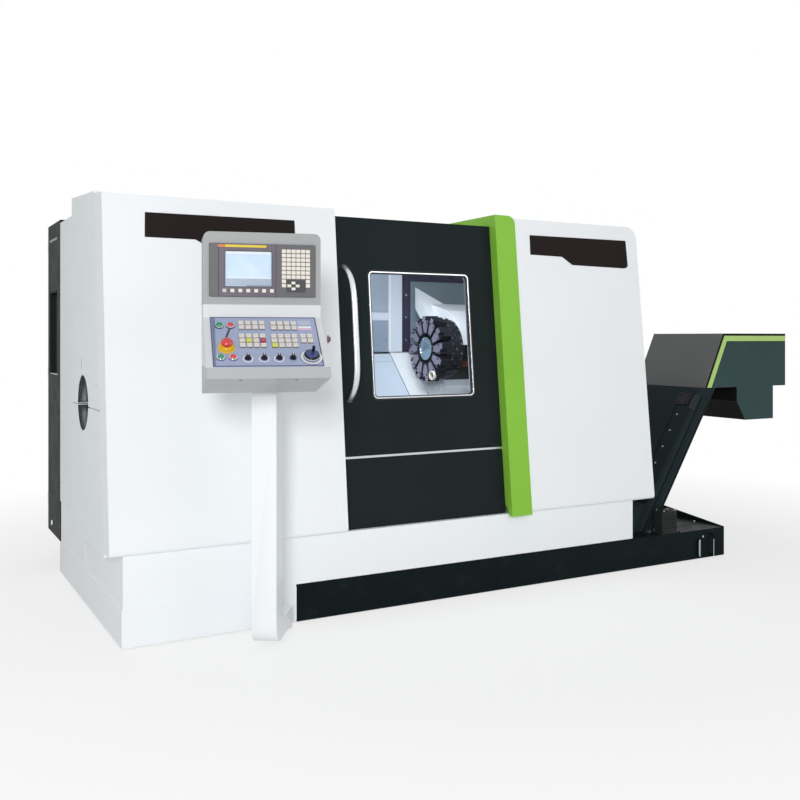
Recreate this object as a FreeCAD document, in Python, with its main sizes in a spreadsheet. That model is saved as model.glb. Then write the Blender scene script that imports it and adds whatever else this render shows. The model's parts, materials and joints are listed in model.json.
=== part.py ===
import FreeCAD, Part
import math
import os
import re
import Sketcher

# A slant-bed turning centre: enclosure, sliding door, headstock and chuck,
# saddle with a twelve-station turret, tailstock, coolant tank, chip conveyor
# and an operator pendant on a swinging arm.
#
# The sizes are in millimetres.  The machine frame used below starts at the
# base's front left corner on the floor: X to the right along the front, Y to
# the rear, Z up.  The finished pieces are then moved together so that the
# origin is the centre of the footprint.

SIZES = {
    # white base and levelling pads
    "base_length": 2678, "base_depth": 1433, "base_top": 372, "base_wall": 6,
    "plinth_top": 162, "plinth_out": 6, "plinth_length": 740, "floor_gap": 6,
    "ledge_depth": 96, "pad_radius": 60, "pad_height": 20, "pad_inset": 140,
    # front of the enclosure; heights here run up the sloping front
    "front_slope": 5.8, "cover_out": 25, "panel_out": 58, "sheet": 3,
    "cover_return_low": 101, "cover_return_high": 147, "cover_lip": 18,
    "left_cover_end": 982, "left_cover_drop": 12, "cover_rise": 32,
    "right_cover_out": 135, "right_cover_lift": 5, "cover_corner": 70,
    "frame_left": 1868, "frame_width": 121, "frame_lift": 16, "frame_proud": 8,
    "frame_corner": 42, "frame_reach": 600, "frame_step": 18,
    # sliding door
    "door_back": 50, "door_thick": 32, "door_bottom": 333, "door_drop": 33,
    "door_left": 986, "door_right": 1930, "door_skin": 2.5, "door_corner": 36,
    "window_left": 1165, "window_right": 1722, "window_bottom": 591, "window_top": 1192,
    "window_corner": 22, "glass_thick": 10, "kick_thick": 20, "rail_height": 10,
    "rail_gap": 1, "handle_x": 1040, "handle_low": 579,
    "handle_high": 1218, "handle_bow": 104, "handle_radius": 12, "flange": 75,
    # flank, rear and roof
    "side_panel_rear": 790, "side_panel_low": 357, "side_panel_slope": 34,
    "side_panel_rise": 39, "split_height": 940, "split_gap": 4, "bar_hole_radius": 122,
    "panel_lap": 30, "rear_wall_out": 28, "rear_top": 1850, "roof_rise": 30,
    "right_side_out": 109,
    # electrical cabinet
    "cabinet_length": 900, "cabinet_deep": 384, "cabinet_low": 155, "cabinet_rise": 18,
    "cabinet_door": 20, "recess_low": 1035, "recess_high": 1497, "recess_in": 91,
    "recess_length": 250, "recess_deep": 26, "switch_radius": 32, "switch_x": 770,
    "switch_z": 1350, "duct_tall": 50, "contactor_low": 565, "contactor_pitch": 78,
    "drive_low": 1025, "drive_pitch": 150,
    # spindle line and slant bed
    "spindle_y": 522, "spindle_z": 952, "slant": 45, "bed_drop": 350, "cover_drop": 250,
    "headstock_left": 360, "headstock_right": 990, "bearing_radius": 85, "bar_radius": 33,
    "bearing_gap": 0.05, "nose_radius": 105, "chuck_radius": 105, "chuck_length": 100,
    "chuck_left": 1010, "jaw_length": 42, "bulkhead_x": 993, "cylinder_radius": 95,
    "bed_low": -150, "bed_high": 560, "casting_front": 690, "casting_wall": 40,
    "work_inset": 58, "door_rail_inset": 78, "slide_gap": 0.3,
    "rail_width": 35, "rail_tall": 35, "tail_rail_low": -125, "tail_rail_high": 75,
    "saddle_rail_low": 165, "saddle_rail_high": 465,
    # saddle, cross slide and turret
    "saddle_left": 1990, "saddle_length": 340, "saddle_low": 127, "saddle_high": 531,
    "cover_low": 125, "cover_high": 533, "cover_fixed": 404, "cover_middle": 530,
    "cover_middle_left": 1300, "cover_saddle": 210, "cover_step": 5, "cover_flange": 26,
    "cover_slot": 110,
    "saddle_top": -225, "cross_top": -170, "wing_left": 1925, "wing_length": 160,
    "turret_u": 320, "turret_radius": 165, "turret_thick": 80, "turret_face": 1833,
    "holder_reach": 184, "holder_length": 70, "holder_width": 58, "stations": 12,
    "tail_inset": 255, "tail_length": 230, "quill_radius": 45, "quill_out": 50,
    # coolant tank and pump
    "tank_out": 687, "tank_depth": 560, "tank_top": 164, "tank_low": 5,
    "tank_rim": 60, "tank_wall": 4, "pump_out": 282, "pump_y": 44, "pump_size": 108,
    "pump_depth": 84, "pump_height": 112,
    # chip conveyor
    "conveyor_front": 90, "conveyor_width": 560, "trough_low": 172, "trough_top": 320,
    "trough_left": 700, "conveyor_slope": 58, "leg_wide": 147, "leg_out": 234,
    "casing_wall": 5, "head_wall": 4, "motor_radius": 62,
    "head_low": 950, "head_top": 1264, "head_start": 402, "head_slope": 146,
    "head_length": 679, "chute_start": 262, "chute_length": 308, "chute_low": 753,
    "chute_knee": 863, "chute_lean": 70, "belt_thick": 10, "belt_inset": 56,
    "sprocket_in": 326, "sprocket_z": 1110, "sprocket_radius": 70, "shaft_radius": 17.5,
    "boss_radius": 32, "boss_length": 16, "cleat_start": 160, "cleat_end": 105, "cleats": 7,
    # pendant arm
    "pivot_x": 644, "pivot_y": -58, "pivot_radius": 20, "arm_yaw": 33.4,
    "arm_reach": 249.8, "arm_width": 99, "arm_deep": 130, "arm_low": 33,
    "arm_foot": 70, "arm_top": 1100, "arm_round": 80, "lug_thick": 20, "pin_cover": 10,
    "swivel_radius": 25, "swivel_shoulder": 28,
    # pendant
    "pendant_yaw": 14.4, "pendant_side": 46, "pendant_width": 434, "pendant_top": 1630,
    "display_front": 247, "display_deep": 125, "lip_front": 459.5, "lip_top": 1135,
    "lip_low": 1097, "heel_front": 141, "heel_z": 1030, "desk_top": 1314.4,
    "unit_width": 393, "unit_height": 196, "unit_centre_z": 1489, "unit_thick": 7,
    "screen_left": -137.5, "screen_right": 30.5, "screen_low": -58, "screen_high": 68,
    "soft_key_pitch": 29.3, "pad_key_across": 18, "pad_key_down": 17.5, "pad_key_left": 38.5,
    "arrow_x": 113, "arrow_z": -55, "arrow_step": 14.5,
    "desk_wide": 389, "desk_long": 273, "desk_thick": 3, "key_size": 18, "key_tall": 4,
    "key_across": 25, "key_down": 25.5,
    "button_radius": 11, "button_ring": 6, "button_tall": 5, "press_travel": 3.5,
    "press_gap": 0.3, "stop_collar": 16, "stop_stem": 12, "stop_travel": 5,
    "knob_radius": 11, "wheel_radius": 28,
}

# Places worked out from the sizes above.
PLACES = {
    "frame_right": "frame_left + frame_width",
    "front_rise": "rear_top - base_top",
    "left_cover_height": "front_rise - left_cover_drop",
    "right_cover_height": "front_rise + right_cover_lift",
    "frame_height": "front_rise + frame_lift",
    "door_top": "front_rise - door_drop",
    "casting_left": "base_wall",
    "casting_right": "base_length - base_wall",
    "casting_rear": "base_depth - base_wall",
    "conveyor_rear": "conveyor_front + conveyor_width",
    "right_side": "base_length + right_side_out",
    "right_cover_end": "base_length + right_cover_out",
    "work_right": "base_length - work_inset",
    "door_rail_right": "base_length - door_rail_inset",
    "rear_wall": "base_depth + rear_wall_out",
    "roof_back": "rear_top + roof_rise",
    "side_panel_top": "rear_top + side_panel_rise",
    "side_panel_front_top": "side_panel_top - side_panel_slope",
    "cabinet_rear": "rear_wall + cabinet_deep",
    "cabinet_top": "rear_top + cabinet_rise",
    "recess_front": "rear_wall + recess_in",
    "recess_rear": "recess_front + recess_length",
    "tank_right": "base_length + tank_out",
    "pump_x": "base_length + pump_out",
    "leg_foot": "base_length + leg_out",
    "leg_left_foot": "leg_foot - leg_wide",
    "head_left": "leg_foot + head_start",
    "head_shoulder": "head_left + head_slope",
    "head_right": "head_left + head_length",
    "chute_left": "head_left + chute_start",
    "chute_right": "chute_left + chute_length",
    "chute_tip": "chute_left + chute_lean",
    "sprocket_x": "head_left + sprocket_in",
    "saddle_right": "saddle_left + saddle_length",
    "swivel_x": "pivot_x - arm_reach * sin(arm_yaw)",
    "swivel_y": "pivot_y - arm_reach * cos(arm_yaw)",
    "desk_angle": "atan((desk_top - lip_top) / (lip_front - display_front))",
    "wall_deep": "door_back + door_thick + 14",
    "spindle_end": "headstock_left - 160",
    "turret_rear": "turret_face + holder_length + turret_thick",
    "chuck_face": "chuck_left + chuck_length",
    "tail_left": "work_right - tail_inset",
    "tail_right": "tail_left + tail_length",
}

doc = FreeCAD.newDocument("turning_centre")
sheet = doc.addObject("Spreadsheet::Sheet", "sizes")
WORD = re.compile(r"[a-z][a-z0-9_]*")


def fill_sheet():
    """Writes each driving size into its own named cell."""
    for row, (name, value) in enumerate(SIZES.items(), start=1):
        sheet.set("A%d" % row, name)
        sheet.set("B%d" % row, str(value))
        sheet.setAlias("B%d" % row, name)
    for offset, name in enumerate(("origin_x", "origin_y"), start=1):
        row = len(SIZES) + offset
        sheet.set("A%d" % row, name)
        sheet.set("B%d" % row, "0")
        sheet.setAlias("B%d" % row, name)
    doc.recompute()


def bound(formula):
    """Turns the size names in a formula into references to their cells."""
    def swap(match):
        word = match.group(0)
        if word in PLACES:
            return "(" + bound(PLACES[word]) + ")"
        if word in SIZES or word in ("origin_x", "origin_y"):
            return "sizes." + word
        return word
    return WORD.sub(swap, str(formula))


def number(formula):
    """The present value of a formula."""
    value = sheet.evalExpression(bound(formula))
    return float(getattr(value, "Value", value))


def bind(thing, path, formula):
    thing.setExpression(path, bound(formula))


# Frames: a frame is a formula for a placement.

def shift(x, y, z):
    return ("create(<<placement>>; create(<<vector>>; %s; %s; %s);"
            " create(<<rotation>>; create(<<vector>>; 0; 0; 1); 0))" % (x, y, z))


def turn(axis, angle):
    vector = {"x": "1; 0; 0", "y": "0; 1; 0", "z": "0; 0; 1"}[axis]
    return ("create(<<placement>>; create(<<vector>>; 0; 0; 0);"
            " create(<<rotation>>; create(<<vector>>; %s); %s))" % (vector, angle))


def chain(*frames):
    return " * ".join(frames)


MACHINE = shift("-origin_x", "-origin_y", "0")
FRONT = chain(shift("-origin_x", "-origin_y - cover_out", "base_top"), turn("x", "-front_slope"))
SPINDLE = chain(MACHINE, shift("0", "spindle_y", "spindle_z"))
TURRET = chain(MACHINE, shift("0", "spindle_y + turret_u * cos(slant)",
                              "spindle_z + turret_u * sin(slant)"))
PENDANT = chain(MACHINE, shift("swivel_x", "swivel_y", "0"), turn("z", "-pendant_yaw"))
DISPLAY = chain(PENDANT, shift("-pendant_side", "-display_front", "unit_centre_z"))
DESK = chain(PENDANT, shift("-pendant_side", "-display_front", "desk_top"),
             turn("x", "desk_angle"))


def on_desk(x, down):
    """A frame on the sloping desk, x from its middle, down from its top edge."""
    return chain(DESK, shift(x, "-(%s)" % down, "0"))


def slanted(along, lift):
    """Y and Z of a point given along the slant and square to it, from the spindle."""
    return ("spindle_y + (%s) * cos(slant) - (%s) * sin(slant)" % (along, lift),
            "spindle_z + (%s) * sin(slant) + (%s) * cos(slant)" % (along, lift))


def on_front(deep, high):
    """Y and Z of a point given behind and up the sloping front."""
    return ("(%s) * cos(front_slope) + (%s) * sin(front_slope) - cover_out" % (deep, high),
            "base_top - (%s) * sin(front_slope) + (%s) * cos(front_slope)" % (deep, high))


# Outlines for sketches.

def polygon(*points):
    def draw(sketch):
        spots = [FreeCAD.Vector(number(a), number(b), 0) for a, b in points]
        count = len(spots)
        first = sketch.GeometryCount
        for index in range(count):
            sketch.addGeometry(Part.LineSegment(spots[index], spots[(index + 1) % count]))
        for index, (a, b) in enumerate(points):
            line = first + index
            after = first + (index + 1) % count
            sketch.addConstraint(Sketcher.Constraint("Coincident", line, 2, after, 1))
            pin_point(sketch, line, 1, a, b)
    return draw


def rectangle(a_low, b_low, a_high, b_high):
    return polygon((a_low, b_low), (a_high, b_low), (a_high, b_high), (a_low, b_high))


def circle(a, b, radius):
    def draw(sketch):
        centre = FreeCAD.Vector(number(a), number(b), 0)
        ring = sketch.addGeometry(Part.Circle(centre, FreeCAD.Vector(0, 0, 1), number(radius)))
        pin_point(sketch, ring, 3, a, b)
        size = sketch.addConstraint(Sketcher.Constraint("Radius", ring, number(radius)))
        bind(sketch, "Constraints[%d]" % size, radius)
    return draw


def corner_waste(a, b, radius):
    """What a round corner at (a, b) leaves off: a square corner less a quarter disc."""
    mid_a = "%s - %s" % (a, radius)
    mid_b = "%s - %s" % (b, radius)

    def draw(sketch):
        spot = {key: FreeCAD.Vector(number(across), number(up), 0) for key, across, up in (
            ("start", mid_a, b), ("corner", a, b), ("end", a, mid_b), ("mid", mid_a, mid_b))}
        ring = Part.Circle(spot["mid"], FreeCAD.Vector(0, 0, 1), number(radius))
        sketch.addGeometry(Part.LineSegment(spot["start"], spot["corner"]))
        sketch.addGeometry(Part.LineSegment(spot["corner"], spot["end"]))
        sketch.addGeometry(Part.ArcOfCircle(ring, 0, math.pi / 2))
        for line, end, after, place in ((0, 2, 1, 1), (1, 2, 2, 1), (2, 2, 0, 1)):
            sketch.addConstraint(Sketcher.Constraint("Coincident", line, end, after, place))
        pin_point(sketch, 0, 1, mid_a, b)
        pin_point(sketch, 1, 1, a, b)
        pin_point(sketch, 2, 3, mid_a, mid_b)
        pin_place(sketch, "DistanceY", 1, 2, mid_b)
    return draw


def pin_place(sketch, kind, line, end, formula):
    rule = Sketcher.Constraint(kind, -1, 1, line, end, number(formula))
    index = sketch.addConstraint(rule)
    bind(sketch, "Constraints[%d]" % index, formula)


def pin_point(sketch, line, end, a, b):
    """Holds one sketch point at two formulas."""
    pin_place(sketch, "DistanceX", line, end, a)
    pin_place(sketch, "DistanceY", line, end, b)


PLANES = {"xy": ("XY_Plane", 1), "xz": ("XZ_Plane", -1), "yz": ("YZ_Plane", 1)}
PIECES = []


class Piece:
    """One sub-part: a body built up feature by feature."""

    def __init__(self, name, frame=MACHINE):
        self.name = name
        self.body = doc.addObject("PartDesign::Body", name + "_body")
        self.body.Label = name
        self.frame = frame
        self.count = 0
        PIECES.append(self)

    def origin(self, role):
        return [part for part in self.body.Origin.OriginFeatures if part.Role == role][0]

    def feature(self, kind):
        self.count += 1
        return self.body.newObject(kind, "%s_%d" % (self.name, self.count))

    def sketch(self, plane, at, outlines):
        role, sense = PLANES[plane]
        drawing = self.feature("Sketcher::SketchObject")
        drawing.AttachmentSupport = (self.origin(role), [""])
        drawing.MapMode = "FlatFace"
        bind(drawing, "AttachmentOffset.Base.z", "%d * (%s)" % (sense, at))
        for outline in outlines:
            outline(drawing)
        drawing.Visibility = False
        return drawing

    def pad(self, plane, at, length, *outlines):
        """Adds material from the plane at a place, towards the axis's far end."""
        solid = self.feature("PartDesign::Pad")
        solid.Profile = self.sketch(plane, at, outlines)
        solid.Reversed = PLANES[plane][1] < 0
        bind(solid, "Length", length)
        return self.done(solid)

    def cut(self, plane, at, length, *outlines):
        """Takes material away from the plane at a place, towards the axis's far end."""
        before = self.body.Shape.Volume
        hole = self.feature("PartDesign::Pocket")
        hole.Profile = self.sketch(plane, at, outlines)
        hole.Reversed = PLANES[plane][1] > 0
        bind(hole, "Length", length)
        self.done(hole)
        if self.body.Shape.Volume > before - 1e-6:
            raise RuntimeError(self.name + ": a cut takes nothing away")
        return hole

    def revolve(self, plane, axis, *outlines, angle="360", middle=False):
        solid = self.feature("PartDesign::Revolution")
        drawing = self.sketch(plane, "0", outlines)
        solid.Profile = drawing
        solid.ReferenceAxis = (self.origin(axis), [""])
        solid.Midplane = middle
        bind(solid, "Angle", angle)
        return self.done(solid)

    def ring_of(self, features, axis, count):
        """Repeats features evenly round an axis of the body."""
        pattern = self.feature("PartDesign::PolarPattern")
        pattern.Originals = features
        pattern.Axis = (self.origin(axis), [""])
        pattern.Angle = 360
        bind(pattern, "Occurrences", count)
        return self.done(pattern)

    def row_of(self, features, axis, length, count):
        """Repeats features in a row along an axis of the body."""
        pattern = self.feature("PartDesign::LinearPattern")
        pattern.Originals = features
        pattern.Direction = (self.origin(axis), [""])
        bind(pattern, "Length", length)
        bind(pattern, "Occurrences", count)
        return self.done(pattern)

    def shell(self, thickness, *faces):
        """Hollows the body, open at the faces whose outward way and place are given."""
        base = self.body.Tip
        names = [self.face(base.Shape, way, place) for way, place in faces]
        hollow = self.feature("PartDesign::Thickness")
        hollow.Base = (base, names)
        hollow.Reversed = True
        hollow.Join = 1
        bind(hollow, "Value", thickness)
        return self.done(hollow)

    def face(self, shape, way, place):
        """Names the flat face that looks one way and holds the given place."""
        best = None
        for index, face in enumerate(shape.Faces, start=1):
            if not isinstance(face.Surface, Part.Plane):
                continue
            normal = face.normalAt(0, 0)
            if normal.dot(FreeCAD.Vector(*way)) < 0.9:
                continue
            spot = FreeCAD.Vector(*[number(value) for value in place])
            gap = face.distToShape(Part.Vertex(spot))[0]
            if best is None or gap < best[0]:
                best = (gap, "Face%d" % index)
        return best[1]

    def edges(self, axis, **places):
        """Names the straight edges along an axis that pass the given places."""
        way = {"x": FreeCAD.Vector(1, 0, 0), "y": FreeCAD.Vector(0, 1, 0),
               "z": FreeCAD.Vector(0, 0, 1)}[axis]
        wanted = {key: number(value) for key, value in places.items()}
        found = []
        for index, edge in enumerate(self.body.Tip.Shape.Edges, start=1):
            if not isinstance(edge.Curve, (Part.Line, Part.LineSegment)):
                continue
            along = edge.Vertexes[-1].Point.sub(edge.Vertexes[0].Point)
            if abs(along.dot(way)) < 0.9 * along.Length:
                continue
            middle = edge.CenterOfMass
            if all(abs(getattr(middle, key) - value) < 0.5 for key, value in wanted.items()):
                found.append("Edge%d" % index)
        if not found:
            raise RuntimeError(self.name + ": no edge along " + axis)
        return found

    def round(self, radius, names):
        base = self.body.Tip
        fillet = self.feature("PartDesign::Fillet")
        fillet.Base = (base, names)
        bind(fillet, "Radius", radius)
        return self.done(fillet)

    def bevel(self, size, names):
        base = self.body.Tip
        chamfer = self.feature("PartDesign::Chamfer")
        chamfer.Base = (base, names)
        bind(chamfer, "Size", size)
        return self.done(chamfer)

    def done(self, feature):
        self.body.Tip = feature
        doc.recompute()
        if "Invalid" in feature.State or "Error" in feature.State:
            raise RuntimeError("%s: %s failed" % (self.name, feature.Name))
        return feature

    def result(self):
        return self.body


class Assembly:
    """One sub-part joined from plain solids: boxes and round bars."""

    def __init__(self, name, frame=MACHINE, joined=True):
        self.name = name
        self.frame = frame
        self.joined = joined
        self.members = []
        self.bores = []
        PIECES.append(self)

    def member(self, kind):
        count = len(self.members) + len(self.bores) + 1
        solid = doc.addObject(kind, "%s_%d" % (self.name, count))
        self.members.append(solid)
        return solid

    def bore(self, x, y, z, radius, length, axis="z"):
        """A round hole through what the other members make."""
        rod = self.bar(x, y, z, radius, length, axis)
        self.members.remove(rod)
        self.bores.append(rod)

    def box(self, x, y, z, dx, dy, dz):
        block = self.member("Part::Box")
        for path, formula in (("Length", dx), ("Width", dy), ("Height", dz),
                              ("Placement.Base.x", x), ("Placement.Base.y", y),
                              ("Placement.Base.z", z)):
            bind(block, path, formula)
        return block

    def bar(self, x, y, z, radius, length, axis="z"):
        rod = self.member("Part::Cylinder")
        turns = {"z": FreeCAD.Rotation(), "x": FreeCAD.Rotation(FreeCAD.Vector(0, 1, 0), 90),
                 "y": FreeCAD.Rotation(FreeCAD.Vector(1, 0, 0), -90)}
        rod.Placement = FreeCAD.Placement(FreeCAD.Vector(), turns[axis])
        for path, formula in (("Radius", radius), ("Height", length),
                              ("Placement.Base.x", x), ("Placement.Base.y", y),
                              ("Placement.Base.z", z)):
            bind(rod, path, formula)
        return rod

    def result(self):
        kind = "Part::MultiFuse" if self.joined else "Part::Compound"
        whole = doc.addObject(kind, self.name + "_body")
        if self.joined:
            whole.Shapes = self.members
            whole.Refine = True
        else:
            whole.Links = self.members
        if self.bores:
            whole = self.drilled(whole)
        whole.Label = self.name
        return whole

    def drilled(self, blank):
        drills = doc.addObject("Part::Compound", self.name + "_drills")
        drills.Links = self.bores
        whole = doc.addObject("Part::Cut", self.name + "_drilled")
        whole.Base = blank
        whole.Tool = drills
        return whole


# ---------------------------------------------------------------- base

def levelling_pads():
    pads = Assembly("levelling_pads", joined=False)
    rows = ("casting_front + pad_radius + 5", "casting_rear - pad_radius - 20")
    columns = ("casting_left + pad_inset", "(casting_left + casting_right) / 2",
               "casting_right - pad_inset")
    for y in rows:
        for x in columns:
            pads.bar(x, y, "0", "pad_radius", "pad_height")
    pads.bar("casting_left + pad_inset", "pad_inset", "0", "pad_radius", "pad_height")


def base_casting():
    """Slant bed: a ribbed casting, open below, with a foot under the headstock."""
    bed = Piece("base_casting")
    low_y, low_z = slanted("bed_low", "-bed_drop")
    high_y, high_z = slanted("bed_high", "-bed_drop")
    bed.pad("yz", "casting_left", "casting_right - casting_left", polygon(
        ("casting_front", "pad_height"), ("casting_rear", "pad_height"),
        ("casting_rear", high_z), (high_y, high_z), (low_y, low_z), ("casting_front", low_z)))
    inner_y, inner_z = slanted("bed_low", "-bed_drop - casting_wall * 1.4142")
    bay = "(casting_right - casting_left - 5 * casting_wall) / 4"
    first = bed.cut("yz", "casting_left + casting_wall", bay, polygon(
        ("casting_front + casting_wall", "pad_height"),
        ("casting_rear - casting_wall", "pad_height"),
        ("casting_rear - casting_wall", high_z + " - casting_wall"),
        (high_y, high_z + " - casting_wall"),
        ("casting_front + casting_wall",
         "casting_front + casting_wall + (%s) - (%s)" % (inner_z, inner_y))))
    bed.row_of([first], "X_Axis", "3 * ((%s) + casting_wall)" % bay, "4")
    bed.pad("xy", "pad_height", "plinth_top - pad_height",
            rectangle("casting_left", "base_wall", "headstock_left", "casting_front"))


def base_skirt():
    skirt = Piece("base_skirt")
    rise = "base_top - floor_gap"
    skirt.pad("xy", "floor_gap", rise, rectangle("0", "0", "base_length", "base_depth"))
    skirt.pad("xy", "floor_gap", "plinth_top - floor_gap", polygon(
        ("-plinth_out", "-plinth_out"), ("plinth_length", "-plinth_out"),
        ("plinth_length", "base_wall"), ("base_wall", "base_wall"),
        ("base_wall", "base_depth"), ("-plinth_out", "base_depth")))
    names = skirt.edges("x", y="-plinth_out", z="plinth_top")
    names += skirt.edges("y", x="-plinth_out", z="plinth_top")
    skirt.bevel("plinth_out * 0.8", names)
    skirt.cut("xy", "floor_gap", rise + " - base_wall", rectangle(
        "base_wall", "base_wall", "base_length - base_wall", "base_depth - base_wall"))
    skirt.cut("xy", "base_top - base_wall", "base_wall", rectangle(
        "base_wall", "ledge_depth", "base_length - base_wall", "base_depth - base_wall"))
    skirt.cut("yz", "plinth_length", "base_length - plinth_length", rectangle(
        "-plinth_out", "floor_gap", "tank_depth + 20", "tank_top + 3"))
    skirt.cut("yz", "base_length - base_wall", "base_wall", rectangle(
        "conveyor_front - 10", "tank_top", "conveyor_rear + 10", "trough_top + 12"))
    pivot_lug(skirt)


def pivot_lug(skirt):
    """The round-ended lug on the plinth, with the arm's pivot pin on it."""
    low = "arm_low - lug_thick - slide_gap"
    skirt.pad("xy", low, "lug_thick", rectangle(
        "pivot_x - arm_width / 2", "pivot_y", "pivot_x + arm_width / 2", "base_wall / 2"))
    skirt.pad("xy", low, "lug_thick", circle("pivot_x", "pivot_y", "arm_width / 2"))
    skirt.pad("xy", "arm_low - 1", "arm_foot + 1 - pin_cover - slide_gap",
              circle("pivot_x", "pivot_y", "pivot_radius"))


# ---------------------------------------------------------------- enclosure

def tray_outline(height):
    """Side view of a front cover, in the sloping front's own frame."""
    return polygon(("0", "0"), ("0", height),
                   ("cover_return_high", height + " + cover_rise"),
                   ("cover_return_low", "cover_return_low * tan(front_slope)"))


def left_front_cover():
    cover = Piece("left_front_cover", FRONT)
    cover.pad("yz", "-panel_out", "left_cover_end + panel_out",
              tray_outline("left_cover_height"))
    cover.round("cover_lip", cover.edges("x", y="0", z="0"))
    cover.shell("sheet", ((0, 1, 0), ("left_cover_end / 2", "cover_return_low",
                                      "left_cover_height / 2")))


def right_front_cover():
    cover = Piece("right_front_cover", FRONT)
    cover.pad("yz", "frame_right", "right_cover_end - frame_right",
              tray_outline("right_cover_height"))
    cover.round("cover_corner", cover.edges("y", x="right_cover_end",
                                            y="cover_return_high / 2"))
    cover.round("cover_lip", cover.edges("x", y="0", z="0"))
    middle = "(frame_right + right_cover_end) / 2"
    cover.shell("sheet",
                ((0, 1, 0), (middle, "cover_return_low", "right_cover_height / 2")),
                ((-1, 0, 0), ("frame_right", "cover_return_low / 2", "300")))


def roof_height(y):
    """Height of the sloping roof's top face at a place from front to rear."""
    front_y, front_z = on_front("wall_deep", "door_top")
    rise = "(roof_back - (%s)) / (side_panel_rear - (%s))" % (front_z, front_y)
    return "%s + ((%s) - (%s)) * (%s)" % (front_z, y, front_y, rise)


def green_frame():
    """Frame beside the door: a front post that turns back over the roof."""
    band = Piece("green_frame")
    top_y, top_z = on_front("-frame_proud", "frame_height")
    inner_y, inner_z = on_front("wall_deep", "door_top")
    inside = "door_back - 3"
    band.pad("yz", "frame_left", "frame_width", polygon(
        on_front("-frame_proud", "-10"), (top_y, top_z),
        ("frame_reach", top_z),
        ("frame_reach", roof_height("frame_reach")), (inner_y, inner_z),
        on_front(inside, "door_top + 2"), on_front(inside, inside + " * tan(front_slope)"),
        on_front("frame_step", "frame_step * tan(front_slope)"),
        on_front("frame_step", "-10")))
    band.cut("xz", "-cover_out", "frame_reach + cover_out",
             corner_waste("frame_right", top_z, "frame_corner"))


def side_panel(name, cut_low, cut_high):
    """One half of the left flank's proud panel, round the bar hole."""
    panel = Piece(name)
    low_front = on_front("cover_return_low + 2", "-15")
    high_front = on_front("cover_return_high + 2", "left_cover_height + cover_rise")
    panel.pad("yz", "-panel_out", "panel_out", polygon(
        (low_front[0], "side_panel_low"), ("side_panel_rear", "side_panel_low"),
        ("side_panel_rear", "side_panel_top"), (high_front[0], "side_panel_front_top")))
    panel.cut("yz", "-panel_out", "panel_out",
              rectangle("0", cut_low, "side_panel_rear + 1", cut_high))
    panel.shell("sheet", ((1, 0, 0), ("0", "spindle_y", "split_height")))
    panel.cut("yz", "-panel_out", "panel_out",
              circle("spindle_y", "spindle_z", "bar_hole_radius"))


def side_panels():
    side_panel("side_panel_upper", "side_panel_low - 1", "split_height + split_gap / 2")
    side_panel("side_panel_lower", "split_height - split_gap / 2", "side_panel_top + 1")


def rear_housing():
    """The left flank behind the side panel and the rear wall, one bent sheet."""
    housing = Piece("rear_housing")
    housing.pad("xy", "base_top", "rear_top - sheet - base_top", polygon(
        ("0", "side_panel_rear - panel_lap"), ("sheet", "side_panel_rear - panel_lap"),
        ("sheet", "rear_wall - sheet"), ("right_side - sheet", "rear_wall - sheet"),
        ("right_side - sheet", "rear_wall"), ("0", "rear_wall")))
    slot = housing.cut("xz", "rear_wall - sheet", "sheet", rectangle(
        "cabinet_length + 300", "rear_top - 400", "cabinet_length + 900", "rear_top - 388"))
    housing.row_of([slot], "Z_Axis", "240", "9")


def right_side_panel():
    """Right flank; its front edge stands inside the right cover."""
    panel = Piece("right_side_panel")
    clear = "sheet + slide_gap"
    under = ("right_cover_height - slide_gap - cover_corner + sqrt((cover_corner - sheet) ^ 2"
             " - (right_side - right_cover_end + cover_corner) ^ 2)")
    panel.pad("yz", "right_side - sheet", "sheet", polygon(
        on_front("sheet", "1.5 * cover_lip"), on_front("sheet", under),
        on_front("cover_return_high + 1", under + " + cover_rise"),
        ("side_panel_rear", "roof_back"), ("side_panel_rear", "rear_top"),
        ("rear_wall", "rear_top"), ("rear_wall", "base_top"),
        (on_front("cover_return_low + 3", "0")[0], "base_top"),
        (on_front("cover_return_low + 3", "0")[0], "base_top + " + clear),
        (on_front("1.5 * cover_lip", "0")[0], "base_top + " + clear)))


def roof_panel():
    """One sheet: front flange, slope behind the door, a step, the flat rear."""
    roof = Piece("roof_panel")
    front = on_front("wall_deep", "door_top")
    roof.pad("yz", "0", "right_side - sheet", polygon(
        front, on_front("wall_deep", "door_top - flange"),
        on_front("wall_deep + sheet", "door_top - flange"),
        on_front("wall_deep + sheet", "door_top - sheet"),
        ("side_panel_rear - sheet", "roof_back - sheet"),
        ("side_panel_rear - sheet", "rear_top - sheet"), ("rear_wall", "rear_top - sheet"),
        ("rear_wall", "rear_top"), ("side_panel_rear", "rear_top"),
        ("side_panel_rear", "roof_back")))
    cover_upstand(roof, "0", "left_cover_end + 1", "left_cover_height")
    cover_upstand(roof, "frame_right", "right_side - sheet - frame_right",
                  "right_cover_height")
    near = on_front("cover_return_high + 1", "left_cover_height + cover_rise")[0]
    roof.pad("yz", "0", "sheet", polygon(
        (near, roof_height(near) + " - sheet"), ("side_panel_rear", "roof_back - sheet"),
        ("side_panel_rear", "side_panel_top - sheet"), (near, "side_panel_front_top - sheet")))


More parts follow.
